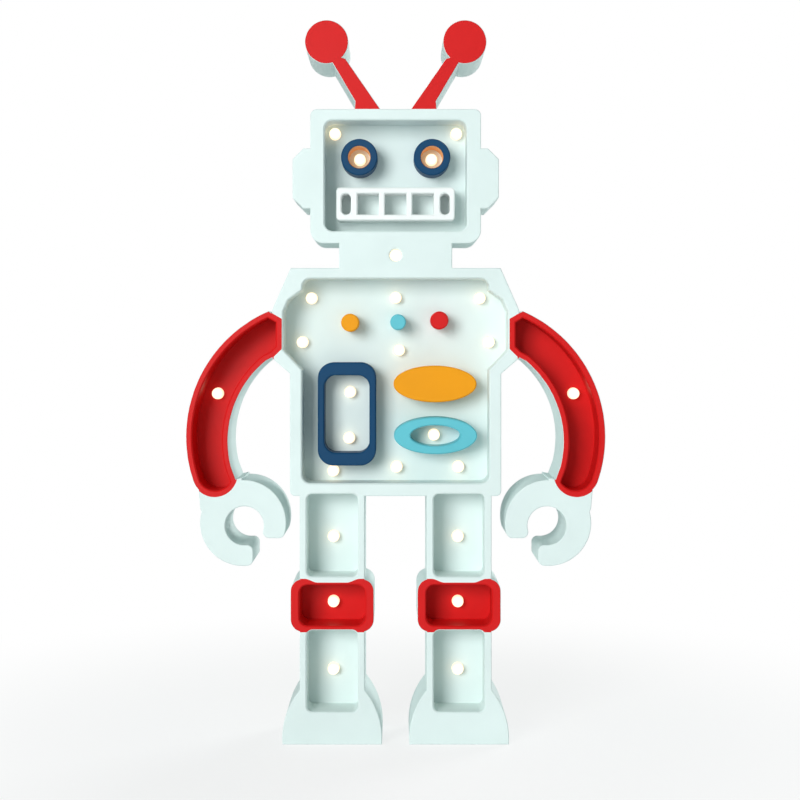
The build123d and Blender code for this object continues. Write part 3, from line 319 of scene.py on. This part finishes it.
# A knee's middle, the half width and half height of its pocket, and the heights of the band's upper
# and lower edge: in the middle of the knee, and at its corners. The edge bends between two distances.
LEG_X = 43.8 * MM
KNEE_Z = 96.0 * MM
KNEE_POCKET = (25.8 * MM, 16.2 * MM)
KNEE_TOP = (111.8 * MM, 114.4 * MM)
KNEE_BOTTOM = (78.4 * MM, 77.5 * MM)
KNEE_BEND = (10.0 * MM, 19.0 * MM)


def knee_band(tree, paints):
    """Red on the front of a knee and in its pocket; its upper and lower edges dip in the middle."""
    place, x, y, z = place_of(tree)
    across = add(tree, "ShaderNodeMath", {0: x}, operation="ABSOLUTE").outputs[0]
    aside, lift = (
        add(tree, "ShaderNodeMath", {
            0: add(tree, "ShaderNodeMath", {0: value, 1: middle}, operation="SUBTRACT").outputs[0],
        }, operation="ABSOLUTE").outputs[0]
        for value, middle in ((across, LEG_X), (z, KNEE_Z))
    )
    top, bottom = (
        add(tree, "ShaderNodeMapRange", {
            "Value": aside, "From Min": KNEE_BEND[0], "From Max": KNEE_BEND[1],
            "To Min": middle, "To Max": corner,
        }, interpolation_type="SMOOTHSTEP").outputs[0]
        for middle, corner in (KNEE_TOP, KNEE_BOTTOM)
    )
    in_width, in_height, shallow, under_top, over_bottom = tested(tree, (
        (aside, "LESS_THAN", KNEE_POCKET[0]),
        (lift, "LESS_THAN", KNEE_POCKET[1]),
        (y, "LESS_THAN", POCKET_DEPTH),
        (z, "LESS_THAN", top),
        (z, "GREATER_THAN", bottom),
    ))
    painted = either(tree, front_share(tree, y, place), within(tree, in_width, in_height, shallow))
    return paints.red, within(tree, painted, under_top, over_bottom)


def antenna_front(tree, paints):
    """Red on the front of an antenna alone."""
    place, _, depth, _ = place_of(tree)
    return paints.red, front_share(tree, depth, place)


EYE_BORE = 7.9 * MM
PAINTED_LIP = 0.5 * MM
BARE_WOOD = "#E2A566"


def bare_bore(tree, paints):
    """Bare wood on the wall of an eye ring's round hole, behind its painted front edge."""
    low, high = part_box("eye_ring_right")
    middle = ((low[0] + high[0]) / 2, 0.0, (low[2] + high[2]) / 2)
    _, x, y, z = place_of(tree)
    across = add(tree, "ShaderNodeMath", {0: x}, operation="ABSOLUTE").outputs[0]
    flat = add(tree, "ShaderNodeCombineXYZ", {0: across, 2: z}).outputs[0]
    reach = add(tree, "ShaderNodeVectorMath", {0: flat, 1: middle}, operation="DISTANCE").outputs[1]
    inside, behind = tested(tree, (
        (reach, "LESS_THAN", EYE_BORE),
        (y, "GREATER_THAN", low[1] + PAINTED_LIP),
    ))
    return linear(BARE_WOOD), within(tree, inside, behind)


# ------------------------------------------------------------------------------ other finishes
def lit_lens(lights):
    """Cast epoxy over a lit chip, clear with a little diffuser.

    It gives a smooth bright dome, nearly white on the axis and warmer and dimmer towards its flange.
    """
    material, tree = new_material("Warm white light, clear epoxy lens")
    axis = add(tree, "ShaderNodeAttribute", attribute_name="axis_share").outputs["Fac"]
    glow = add(tree, "ShaderNodeMapRange", {
        "Value": axis, "To Min": lights.strength * 0.4, "To Max": lights.strength,
    })
    warm = add(tree, "ShaderNodeMix", {0: axis, 6: lights.glow, 7: lights.lens}, data_type="RGBA")
    shader = add(tree, "ShaderNodeBsdfPrincipled", {
        "Base Color": linear("#8C8676"), "Roughness": 0.12, "IOR": 1.54,
        "Emission Color": warm.outputs[2], "Emission Strength": glow.outputs[0],
    })
    close(tree, shader)
    return material


def plain_wood(name, light, dark, ring_pitch, run, roughness):
    """Unpainted wood: rings at their real pitch, drawn out by run along the grain, with fine pores."""
    material, tree = new_material(name)
    place = place_of(tree)[0]
    along = add(tree, "ShaderNodeMapping", {"Vector": place, "Scale": run})
    rings = add(tree, "ShaderNodeTexNoise", {
        "Vector": along.outputs[0], "Scale": 1.0 / ring_pitch,
        "Detail": 4.0, "Roughness": 0.62, "Distortion": 0.6,
    })
    pores = add(tree, "ShaderNodeTexNoise", {
        "Vector": along.outputs[0], "Scale": 6.0 / ring_pitch, "Detail": 2.0,
    })
    mixed = add(tree, "ShaderNodeMix", {0: 0.35, 2: rings.outputs[0], 3: pores.outputs[0]})
    ramp = add(tree, "ShaderNodeMapRange", {"Value": mixed.outputs[0], "From Min": 0.35, "From Max": 0.65})
    base = add(tree, "ShaderNodeMix", {
        0: ramp.outputs[0], 6: linear(dark), 7: linear(light),
    }, data_type="RGBA")
    bump = add(tree, "ShaderNodeBump", {
        "Height": mixed.outputs[0], "Strength": 0.4, "Distance": 0.1 * MM,
    })
    shader = add(tree, "ShaderNodeBsdfPrincipled", {
        "Base Color": base.outputs[2], "Roughness": roughness, "IOR": 1.5, "Normal": bump.outputs[0],
    })
    close(tree, shader)
    return material


def plastic(name, colour, roughness, grit, relief=0.02 * MM):
    """Moulded or extruded plastic with the fine grit of its tool, which dulls and mottles it a little."""
    material, tree = new_material(name)
    place = place_of(tree)[0]
    speck = add(tree, "ShaderNodeTexNoise", {"Vector": place, "Scale": 1.0 / grit, "Detail": 2.0})
    shade = add(tree, "ShaderNodeMapRange", {
        "Value": speck.outputs[0], **MIDDLE_OF_NOISE, "To Min": 0.92, "To Max": 1.0,
    })
    base = add(tree, "ShaderNodeMix", {0: 1.0, 6: linear(colour), 7: shade.outputs[0]},
               data_type="RGBA", blend_type="MULTIPLY")
    bump = add(tree, "ShaderNodeBump", {"Height": speck.outputs[0], "Strength": 0.3, "Distance": relief})
    shader = add(tree, "ShaderNodeBsdfPrincipled", {
        "Base Color": base.outputs[2], "Roughness": roughness, "IOR": 1.53, "Normal": bump.outputs[0],
    })
    close(tree, shader)
    return material


def metal(name, colour, roughness, streak, stretch):
    """Bare or plated metal; its streaks are drawn out along the way it was drawn, cut or turned."""
    material, tree = new_material(name)
    place = place_of(tree)[0]
    along = add(tree, "ShaderNodeMapping", {"Vector": place, "Scale": stretch})
    lines = add(tree, "ShaderNodeTexNoise", {
        "Vector": along.outputs[0], "Scale": 1.0 / streak, "Detail": 2.0,
    })
    rough = add(tree, "ShaderNodeMapRange", {
        "Value": lines.outputs[0], **MIDDLE_OF_NOISE,
        "To Min": roughness - 0.06, "To Max": roughness + 0.08,
    })
    bump = add(tree, "ShaderNodeBump", {
        "Height": lines.outputs[0], "Strength": 0.2, "Distance": 0.01 * MM,
    })
    shader = add(tree, "ShaderNodeBsdfPrincipled", {
        "Base Color": linear(colour), "Metallic": 1.0, "Roughness": rough.outputs[0],
        "Normal": bump.outputs[0],
    })
    close(tree, shader)
    return material


EVEN = (1.0, 1.0, 1.0)
DRAWN_BACKWARDS = (1.0, 0.1, 1.0)


@cache
def birch_plywood():
    """Rotary-cut birch, sanded, with matt varnish: pale, with broad soft bands and little shine."""
    return plain_wood("Birch plywood, matt varnish", "#DCC39A", "#C39F6D",
                      ring_pitch=5.0 * MM, run=(1.0, 1.0, 0.06), roughness=0.55)


@cache
def raw_pine():
    """Sawn pine, unfinished: warm yellow, narrow rings, quite dull."""
    return plain_wood("Raw pine", "#DDB981", "#BD9058",
                      ring_pitch=3.0 * MM, run=(0.08, 1.0, 1.0), roughness=0.8)


@cache
def black_nylon():
    """Nylon from a spark-eroded mould: near black, with a dull fine grit."""
    return plastic("Black nylon, spark-eroded mould", "#1A1B1D", roughness=0.48, grit=0.25 * MM)


@cache
def natural_nylon():
    """Undyed moulded nylon: milky white and softly shining."""
    return plastic("Natural nylon, moulded", "#E7E5DB", roughness=0.5, grit=0.5 * MM)


@cache
def zinc_steel():
    """Turned steel with bright zinc plate: cool grey, smooth, with a clear shine."""
    return metal("Zinc-plated steel, turned", "#C3C6C8", roughness=0.28, streak=0.3 * MM, stretch=EVEN)


@cache
def spring_wire():
    """Drawn spring steel: darker grey, with streaks along the wire."""
    return metal("Spring steel wire, drawn", "#A9ABAD",
                 roughness=0.3, streak=0.1 * MM, stretch=DRAWN_BACKWARDS)


@cache
def tinned_wire():
    """Drawn copper with a tin coat: light grey and slightly dull."""
    return metal("Tinned wire, drawn", "#CBCDCE",
                 roughness=0.35, streak=0.1 * MM, stretch=DRAWN_BACKWARDS)


@cache
def nickel_brass():
    """Nickel plate over turned brass: a warm grey, almost mirror-like."""
    return metal("Nickel plate on brass", "#C9C6BD",
                 roughness=0.2, streak=0.2 * MM, stretch=(1.0, 1.0, 0.2))


@cache
def brass_strip():
    """Brass stamped from rolled strip: muted yellow, with faint rolling lines."""
    return metal("Stamped brass strip", "#C8A55E",
                 roughness=0.3, streak=0.2 * MM, stretch=DRAWN_BACKWARDS)


@cache
def aluminium_can():
    """Deep-drawn aluminium: bright silver-grey, with soft streaks up the can."""
    return metal("Drawn aluminium can", "#C8CACB",
                 roughness=0.32, streak=0.3 * MM, stretch=(0.1, 1.0, 1.0))


@cache
def copper_winding():
    """Enamelled copper wire, wound close: reddish brown with a satin shine across the turns."""
    return metal("Enamelled copper winding", "#B2643B",
                 roughness=0.32, streak=0.25 * MM, stretch=(0.2, 1.0, 0.2))


@cache
def white_insulation():
    """Extruded soft PVC: slightly warm white with a waxy shine."""
    return plastic("White PVC insulation, extruded", "#EBEBE6", roughness=0.45, grit=0.4 * MM)


@cache
def red_insulation():
    """Extruded soft PVC, dyed through: deep red with a waxy shine."""
    return plastic("Red PVC insulation, extruded", "#B3231F", roughness=0.45, grit=0.4 * MM)


@cache
def circuit_board():
    """Solder resist over glass cloth and epoxy: clear deep green, quite glossy."""
    return plastic("Green solder resist on glass epoxy", "#1F6B3B", roughness=0.3, grit=0.6 * MM)


@cache
def ferrite():
    """Pressed and fired ferrite: dark grey, dry and fine-grained like stone."""
    return plastic("Ferrite, pressed and fired", "#3A3A3D",
                   roughness=0.6, grit=0.3 * MM, relief=0.03 * MM)


@cache
def chip_epoxy():
    """Filled epoxy from a sanded mould: matt black."""
    return plastic("Moulded epoxy package", "#17181A", roughness=0.55, grit=0.3 * MM)


@cache
def resistor_glaze():
    """Glass glaze fired over a resistor film: black with a soft gloss."""
    return plastic("Glazed resistor film", "#2A2A2C", roughness=0.35, grit=0.4 * MM)


@cache
def pad_ink():
    """Ink printed from a silicone pad: flat white, a little raised."""
    return plastic("White pad-printed ink", "#E9E9E4", roughness=0.5, grit=0.1 * MM, relief=0.005 * MM)


def dress(nodes, material):
    """Gives CAD nodes a material."""
    for name in nodes:
        slots = frame["nodes"][name].data.materials
        slots.clear()
        slots.append(material)


# ------------------------------------------------------------------------------ meshes
SHARP_FOLD = math.radians(38)


def mesh_piece(name, points, faces, material, body):
    """Mesh object from arrays, with normals turned outwards, riding on a body."""
    mesh = bpy.data.meshes.new(name)
    mesh.from_pydata(points.tolist(), [], [tuple(face) for face in faces])
    editable = bmesh.new()
    editable.from_mesh(mesh)
    bmesh.ops.recalc_face_normals(editable, faces=editable.faces)
    editable.to_mesh(mesh)
    editable.free()
    mesh.shade_smooth()
    mesh.set_sharp_from_angle(angle=SHARP_FOLD)
    mesh.materials.append(material)
    piece = bpy.data.objects.new(name, mesh)
    bpy.context.scene.collection.objects.link(piece)
    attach(piece, body)
    return piece


def turned(profile, steps):
    """Closed solid of revolution about Y.

    profile is rows of (radius, depth) whose first and last radius is 0. Ring i, step j lies at
    x = r cos(a), z = r sin(a), y = depth with a = 2 pi j / steps; the two ends are single points.
    """
    angle = np.linspace(0, 2 * np.pi, steps, endpoint=False)
    radius, depth = profile[1:-1, 0, None], profile[1:-1, 1, None]
    level = np.broadcast_to(depth, (len(radius), steps))
    rings = np.stack([radius * np.cos(angle), level, radius * np.sin(angle)], -1)
    ends = np.array([[0, profile[0, 1], 0], [0, profile[-1, 1], 0]])
    points = np.concatenate([rings.reshape(-1, 3), ends])
    here = np.arange(steps)
    beyond = (here + 1) % steps
    starts = (np.arange(len(radius) - 1) * steps)[:, None]
    sides = np.stack([starts + here, starts + beyond, starts + steps + beyond, starts + steps + here], -1)
    last = (len(radius) - 1) * steps
    first_cap = np.stack([here, beyond, np.full(steps, len(points) - 2)], -1)
    last_cap = np.stack([last + here, last + beyond, np.full(steps, len(points) - 1)], -1)
    return points, sides.reshape(-1, 4), np.concatenate([first_cap, last_cap])


def repeated(points, face_sets, places):
    """Copies of one mesh at several places, as joined arrays.

    Point i of copy k is point i plus place k, and each copy's faces count on from the last one's.
    """
    moved = (points[None] + np.asarray(places)[:, None]).reshape(-1, 3)
    shifts = (np.arange(len(places)) * len(points))[:, None, None]
    faces = []
    for face_set in face_sets:
        faces += (face_set[None] + shifts).reshape(-1, face_set.shape[1]).tolist()
    return moved, faces


def round_bar(path, closed, radius, steps):
    """Round bar along a path of points, as a mesh without gaps.

    Point i, step j lies at c + r cos(a) u + r sin(a) v with a = 2 pi j / steps, where c is the
    path's point, t its direction, v = t x Y and u = v x t, both made one long. An open bar ends in
    two flat caps, a closed one joins its last ring to its first.
    """
    if closed:
        ahead = np.roll(path, -1, 0) - np.roll(path, 1, 0)
    else:
        ahead = np.gradient(path, axis=0)
    side = np.cross(ahead, (0.0, 1.0, 0.0))
    side /= np.linalg.norm(side, axis=1, keepdims=True)
    up = np.cross(side, ahead)
    up /= np.linalg.norm(up, axis=1, keepdims=True)
    angle = np.linspace(0, 2 * np.pi, steps, endpoint=False)[None, :, None]
    rings = path[:, None] + radius * (np.cos(angle) * up[:, None] + np.sin(angle) * side[:, None])
    here, beyond = np.arange(steps), (np.arange(steps) + 1) % steps
    near = np.arange(len(path) if closed else len(path) - 1)[:, None] * steps
    far = (near + steps) % (len(path) * steps)
    faces = np.stack([near + here, near + beyond, far + beyond, far + here], -1).reshape(-1, 4).tolist()
    if not closed:
        faces += [here.tolist(), (here + (len(path) - 1) * steps).tolist()]
    return rings.reshape(-1, 3), faces


# ------------------------------------------------------------------------------ body and trim
class ROBOTLAMP_OT_board(bpy.types.Operator):
    """Paint the board: pale body, red bands on arms and knees, red antenna fronts"""
    bl_idname = "robotlamp.board"
    bl_label = "Paint the board"

    def execute(self, context):
        paints = context.scene.robotlamp_paints
        for name, nodes, second_coat in (
            ("Pale satin acrylic on sanded board", BOARD_BLOCKS, None),
            ("Acrylic with a red knee band", LEG_BLOCKS, knee_band),
            ("Acrylic with a red arm band", ARM_BLOCKS, arm_band),
            ("Acrylic with a red front", ANTENNA_BLOCKS, antenna_front),
        ):
            dress(nodes, satin_paint(name, paints.pale, paints, second_coat))
        return {"FINISHED"}


class ROBOTLAMP_OT_trim(bpy.types.Operator):
    """Paint the pieces that are glued on the recess floors"""
    bl_idname = "robotlamp.trim"
    bl_label = "Paint the glued pieces"

    def execute(self, context):
        paints = context.scene.robotlamp_paints
        for name, colour, nodes in (
            ("Navy satin acrylic on plywood", paints.navy, ("window_frame",)),
            ("White satin acrylic on plywood", paints.white, ("mouth_grille",)),
            ("Orange satin acrylic on plywood", paints.orange, ("chest_peg_left", "upper_oval")),
            ("Cyan satin acrylic on plywood", paints.cyan, ("chest_peg_middle", "lower_oval_ring")),
            ("Red satin acrylic on dowel", paints.red, ("chest_peg_right",)),
        ):
            dress(nodes, satin_paint(name, colour, paints))
        dress(EYE_RINGS, satin_paint("Navy satin acrylic, bare bore", paints.navy, paints, bare_bore))
        return {"FINISHED"}


# ------------------------------------------------------------------------------ lights
# A light's flange is a little narrower than this, and two lights are much farther apart.
LIGHT_WIDTH = 9.3 * MM
LENS_RADIUS = 4.0 * MM
LENS_DOME = 3.4 * MM
LENS_STRAIGHT = 7.8 * MM
FLANGE_RADIUS = 4.6 * MM
FLANGE_THICKNESS = 1.6 * MM
FLANGE_EDGE = 0.2 * MM
DOME_ROWS = 9
LENS_STEPS = 40


def light_centres(node):
    """Front middle of each light of a CAD node: points nearer than a flange's width are one light."""
    mesh = frame["nodes"][node].data
    points = np.empty(len(mesh.vertices) * 3)
    mesh.vertices.foreach_get("co", points)
    points = points.reshape(-1, 3)
    centres = []
    while len(points):
        near = np.linalg.norm((points - points[0])[:, (0, 2)], axis=1) < LIGHT_WIDTH
        low, high = points[near].min(0), points[near].max(0)
        centres.append((low[0] / 2 + high[0] / 2, low[1], low[2] / 2 + high[2] / 2))
        points = points[~near]
    return np.array(centres)


def lens_profile():
    """Profile of a round light, front to back: a dome of part of a torus, a straight side, a flange.

    The dome is r = R - d + d sin(t), y = d (1 - cos(t)) for t from 0 to 90 degrees.
    """
    turn = np.linspace(0, np.pi / 2, DOME_ROWS)
    middle = LENS_RADIUS - LENS_DOME
    dome = np.stack([middle + LENS_DOME * np.sin(turn), LENS_DOME * (1 - np.cos(turn))], -1)
    back = LENS_STRAIGHT + FLANGE_THICKNESS
    rest = np.array([
        (LENS_RADIUS, LENS_STRAIGHT),
        (FLANGE_RADIUS - FLANGE_EDGE, LENS_STRAIGHT),
        (FLANGE_RADIUS, LENS_STRAIGHT + FLANGE_EDGE),
        (FLANGE_RADIUS, back - FLANGE_EDGE),
        (FLANGE_RADIUS - FLANGE_EDGE, back),
        (0.0, back),
    ])
    return np.concatenate([[(0.0, 0.0)], dome, rest])


class ROBOTLAMP_OT_lights(bpy.types.Operator):
    """Lit lenses in place of the plain lights"""
    bl_idname = "robotlamp.lights"
    bl_label = "Make the lights"

    def execute(self, context):
        lens = lit_lens(context.scene.robotlamp_lights)
        points, *face_sets = turned(lens_profile(), LENS_STEPS)
        off_axis = np.clip(np.hypot(points[:, 0], points[:, 2]) / FLANGE_RADIUS, 0, 1)
        depth = np.clip(points[:, 1] / (LENS_STRAIGHT + FLANGE_THICKNESS), 0, 1)
        share = (1 - off_axis ** 2) * (1 - depth)
        for node in LIGHT_GROUPS:
            places = light_centres(node)
            placed, faces = repeated(points, face_sets, places)
            piece = mesh_piece(f"{node}_lenses", placed, faces, lens, BODY)
            glow = piece.data.attributes.new("axis_share", "FLOAT", "POINT")
            glow.data.foreach_set("value", np.tile(share, len(places)))
            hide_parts(node)
        return {"FINISHED"}


# ------------------------------------------------------------------------------ back and inside
class ROBOTLAMP_OT_back(bpy.types.Operator):
    """Finish the back panel, the blocks behind it and its screws"""
    bl_idname = "robotlamp.back"
    bl_label = "Finish the back"

    def execute(self, context):
        dress(("back_panel",), birch_plywood())
        dress(("panel_screw_blocks",), raw_pine())
        dress(("panel_screws",), zinc_steel())
        return {"FINISHED"}


rocker_joint = next(joint for joint in frame["joints"] if joint["name"] == "rocker_tilt")
ROCKER_PIVOT = rocker_joint["pos_m"]
# At rest the rocker leans by half of its travel. Its face rises from a waist towards both ends.
ROCKER_TILT = math.radians(-rocker_joint["range_deg"][0] / 2)
ROCKER_WAIST = 2.6 * MM
ROCKER_RISE = 2.0 / 5.9
MARK_PLACE = 2.7 * MM
MARK_RADIUS = 0.75 * MM
MARK_STROKE = 0.16 * MM
MARK_STEPS = 12
RING_POINTS = 32


def on_rocker(across, along):
    """Points of the rocker's dished face at rest, across it and along it from the pivot.

    The face lies d = w + k |a| outside the pivot, and the whole turns by the rest tilt t about X:
    y = d cos(t) - a sin(t), z = d sin(t) + a cos(t).
    """
    depth = ROCKER_WAIST + ROCKER_RISE * np.abs(along)
    turn, rise = math.cos(ROCKER_TILT), math.sin(ROCKER_TILT)
    moved = np.stack([across, depth * turn - along * rise, depth * rise + along * turn], -1)
    return moved + ROCKER_PIVOT


class ROBOTLAMP_OT_switch(bpy.types.Operator):
    """Finish the rocker switch and print its plain line and ring, half sunk in the rocker's face"""
    bl_idname = "robotlamp.switch"
    bl_label = "Finish the switch"

    def execute(self, context):
        dress(("switch_housing", "switch_rocker"), black_nylon())
        dress(("switch_plunger",), natural_nylon())
        dress(("switch_spring",), spring_wire())
        dress(("switch_terminals", "switch_lever"), brass_strip())
        along = MARK_PLACE + np.linspace(-MARK_RADIUS, MARK_RADIUS, 2)
        turn = np.linspace(0, 2 * np.pi, RING_POINTS, endpoint=False)
        bar = on_rocker(np.zeros(2), along)
        ring = on_rocker(MARK_RADIUS * np.cos(turn), MARK_RADIUS * np.sin(turn) - MARK_PLACE)
        # The ink takes the slot of the white insulation, the whitest finish in the record.
        for name, path, closed in (("switch_mark_on", bar, False), ("switch_mark_off", ring, True)):
            points, faces = round_bar(path, closed, MARK_STROKE, MARK_STEPS)
            mesh_piece(name, points, faces, pad_ink(), ROCKER)
        return {"FINISHED"}


class ROBOTLAMP_OT_inlet(bpy.types.Operator):
    """Finish the inlet for the low-voltage plug"""
    bl_idname = "robotlamp.inlet"
    bl_label = "Finish the inlet"

    def execute(self, context):
        dress(("inlet_barrel",), black_nylon())
        dress(("inlet_nut", "inlet_pin"), nickel_brass())
        dress(("inlet_tags",), brass_strip())
        return {"FINISHED"}


class ROBOTLAMP_OT_driver(bpy.types.Operator):
    """Finish the driver board, its parts and what holds it"""
    bl_idname = "robotlamp.driver"
    bl_label = "Finish the driver"

    def execute(self, context):
        for nodes, material in (
            (("driver_board",), circuit_board()),
            (("board_spacers",), natural_nylon()),
            (("board_screws",), zinc_steel()),
            (("board_pins",), brass_strip()),
            (("driver_coil",), ferrite()),
            (("coil_winding",), copper_winding()),
            (("driver_capacitor",), aluminium_can()),
            (("driver_chip",), chip_epoxy()),
            (("string_resistors",), resistor_glaze()),
        ):
            dress(nodes, material)
        return {"FINISHED"}


class ROBOTLAMP_OT_wiring(bpy.types.Operator):
    """Finish the lights' leads, the series strings and the supply wires"""
    bl_idname = "robotlamp.wiring"
    bl_label = "Finish the wiring"

    def execute(self, context):
        dress(("light_leads",), tinned_wire())
        dress(SERIES_WIRES, white_insulation())
        dress(("supply_wires",), red_insulation())
        return {"FINISHED"}


# ------------------------------------------------------------------------------ studio
FLOOR_SIZE = 6.0
# To the camera, the paper turns from nearly white to plain white between these distances.
PAPER_FADE = (0.15, 0.5)
NEARLY_WHITE = 0.75
SENSOR = 36.0
PICTURE_WIDTH = 552.0 * MM
PICTURE_MIDDLE = (3.0 * MM, 237.8 * MM)
SOFT_BOX = 1.7
KEY_PLACE = (-1.65, -3.2, 1.1)
BACK_PLACE = (2.3, 2.4, 1.4)
LIT_POINT = (0.0, 0.0, 0.25)
WHITE = (1.0, 1.0, 1.0, 1.0)


def make_floor():
    """Flat square at the level of the feet; far from the lamp it is plain white to the camera.

    Matt white paper gives a soft contact shadow and no reflection.
    """
    half = FLOOR_SIZE / 2
    corners = ((-half, -half, 0.0), (half, -half, 0.0), (half, half, 0.0), (-half, half, 0.0))
    mesh = bpy.data.meshes.new("studio_floor")
    mesh.from_pydata(corners, [], [(0, 1, 2, 3)])
    floor = bpy.data.objects.new("studio_floor", mesh)
    bpy.context.scene.collection.objects.link(floor)
    material, tree = new_material("White paper sweep")
    away = add(tree, "ShaderNodeVectorMath", {0: place_of(tree)[0]}, operation="LENGTH").outputs[1]
    far = add(tree, "ShaderNodeMapRange", {
        "Value": away, "From Min": PAPER_FADE[0], "From Max": PAPER_FADE[1],
        "To Min": NEARLY_WHITE, "To Max": 1.0,
    }, interpolation_type="SMOOTHSTEP").outputs[0]
    rays = add(tree, "ShaderNodeLightPath")
    share = within(tree, far, rays.outputs["Is Camera Ray"])
    paper = add(tree, "ShaderNodeBsdfDiffuse", {"Color": linear("#F4F5F5")})
    white = add(tree, "ShaderNodeEmission", {"Color": WHITE, "Strength": 1.0})
    close(tree, add(tree, "ShaderNodeMixShader", {0: share, 1: paper.outputs[0], 2: white.outputs[0]}))
    mesh.materials.append(material)


def make_world(scene, fill):
    """Even cool light from all round; the camera and glass see plain white."""
    world = bpy.data.worlds.new("Studio")
    scene.world = world
    world.use_nodes = True
    tree = world.node_tree
    tree.nodes.clear()
    rays = add(tree, "ShaderNodeLightPath")
    seen = either(tree, rays.outputs["Is Camera Ray"], rays.outputs["Is Transmission Ray"])
    even = add(tree, "ShaderNodeBackground", {"Color": linear("#DCEFEE"), "Strength": fill})
    white = add(tree, "ShaderNodeBackground", {"Color": WHITE, "Strength": 1.0})
    mixed = add(tree, "ShaderNodeMixShader", {0: seen, 1: even.outputs[0], 2: white.outputs[0]})
    add(tree, "ShaderNodeOutputWorld", {"Surface": mixed.outputs[0]})


def make_soft_box(name, power, start):
    """Square area light that points from start to the lamp."""
    data = bpy.data.lights.new(name, "AREA")
    data.energy = power
    data.size = SOFT_BOX
    lamp = bpy.data.objects.new(name, data)
    bpy.context.scene.collection.objects.link(lamp)
    away = np.array(start) - np.array(LIT_POINT)
    flat = math.hypot(away[0], away[1])
    lamp.rotation_euler = (math.atan2(flat, away[2]), 0.0, math.atan2(away[0], -away[1]))
    lamp.location = start


def make_camera(scene, studio):
    """Level camera straight in front; shifts bring the lamp to its place in a square picture."""
    data = bpy.data.cameras.new("camera")
    data.sensor_width = SENSOR
    data.sensor_fit = "HORIZONTAL"
    data.lens = SENSOR * studio.distance / PICTURE_WIDTH
    data.shift_x = PICTURE_MIDDLE[0] / PICTURE_WIDTH
    data.shift_y = (PICTURE_MIDDLE[1] - studio.height) / PICTURE_WIDTH
    camera = bpy.data.objects.new("camera", data)
    camera.location = (0.0, cad_box[0][1] - studio.distance, studio.height)
    camera.rotation_euler = (math.pi / 2, 0.0, 0.0)
    scene.collection.objects.link(camera)
    scene.camera = camera


class ROBOTLAMP_OT_stage(bpy.types.Operator):
    """Pale floor, soft studio light and the camera"""
    bl_idname = "robotlamp.stage"
    bl_label = "Set the studio"

    def execute(self, context):
        scene = context.scene
        studio = scene.robotlamp_studio
        make_floor()
        make_world(scene, studio.fill)
        make_soft_box("key_light", studio.key_power, KEY_PLACE)
        make_soft_box("back_light", studio.back_power, BACK_PLACE)
        make_camera(scene, studio)
        scene.view_settings.view_transform = "Standard"
        return {"FINISHED"}


# ------------------------------------------------------------------------------ add-on
class ROBOTLAMP_PT_panel(bpy.types.Panel):
    """Colours, sizes and steps of the lamp's finish"""
    bl_idname = "ROBOTLAMP_PT_panel"
    bl_label = "Robot Lamp"
    bl_space_type = "VIEW_3D"
    bl_region_type = "UI"
    bl_category = "Robot Lamp"

    def draw(self, context):
        for name in GROUPS:
            group = getattr(context.scene, name)
            box = self.layout.box()
            for key in group.bl_rna.properties.keys():
                if key not in {"rna_type", "name"}:
                    box.prop(group, key)
        for operator in OPERATORS:
            self.layout.operator(operator.bl_idname)


GROUPS = {
    "robotlamp_paints": RobotLampPaints,
    "robotlamp_lights": RobotLampLights,
    "robotlamp_studio": RobotLampStudio,
}
OPERATORS = (
    ROBOTLAMP_OT_stage, ROBOTLAMP_OT_board, ROBOTLAMP_OT_trim, ROBOTLAMP_OT_lights, ROBOTLAMP_OT_back,
    ROBOTLAMP_OT_switch, ROBOTLAMP_OT_inlet, ROBOTLAMP_OT_driver, ROBOTLAMP_OT_wiring,
)


def register():
    """Adds the classes and the scene's properties."""
    for group in (*GROUPS.values(), *OPERATORS, ROBOTLAMP_PT_panel):
        bpy.utils.register_class(group)
    for name, group in GROUPS.items():
        setattr(bpy.types.Scene, name, bpy.props.PointerProperty(type=group))


def unregister():
    """Takes the properties and classes away again."""
    for name in GROUPS:
        delattr(bpy.types.Scene, name)
    for group in (ROBOTLAMP_PT_panel, *OPERATORS, *GROUPS.values()):
        bpy.utils.unregister_class(group)


def main():
    """Runs every step in order."""
    register()
    bpy.ops.robotlamp.stage()
    bpy.ops.robotlamp.board()
    bpy.ops.robotlamp.trim()
    bpy.ops.robotlamp.lights()
    bpy.ops.robotlamp.back()
    bpy.ops.robotlamp.switch()
    bpy.ops.robotlamp.inlet()
    bpy.ops.robotlamp.driver()
    bpy.ops.robotlamp.wiring()


if __name__ == "__main__":
    main()
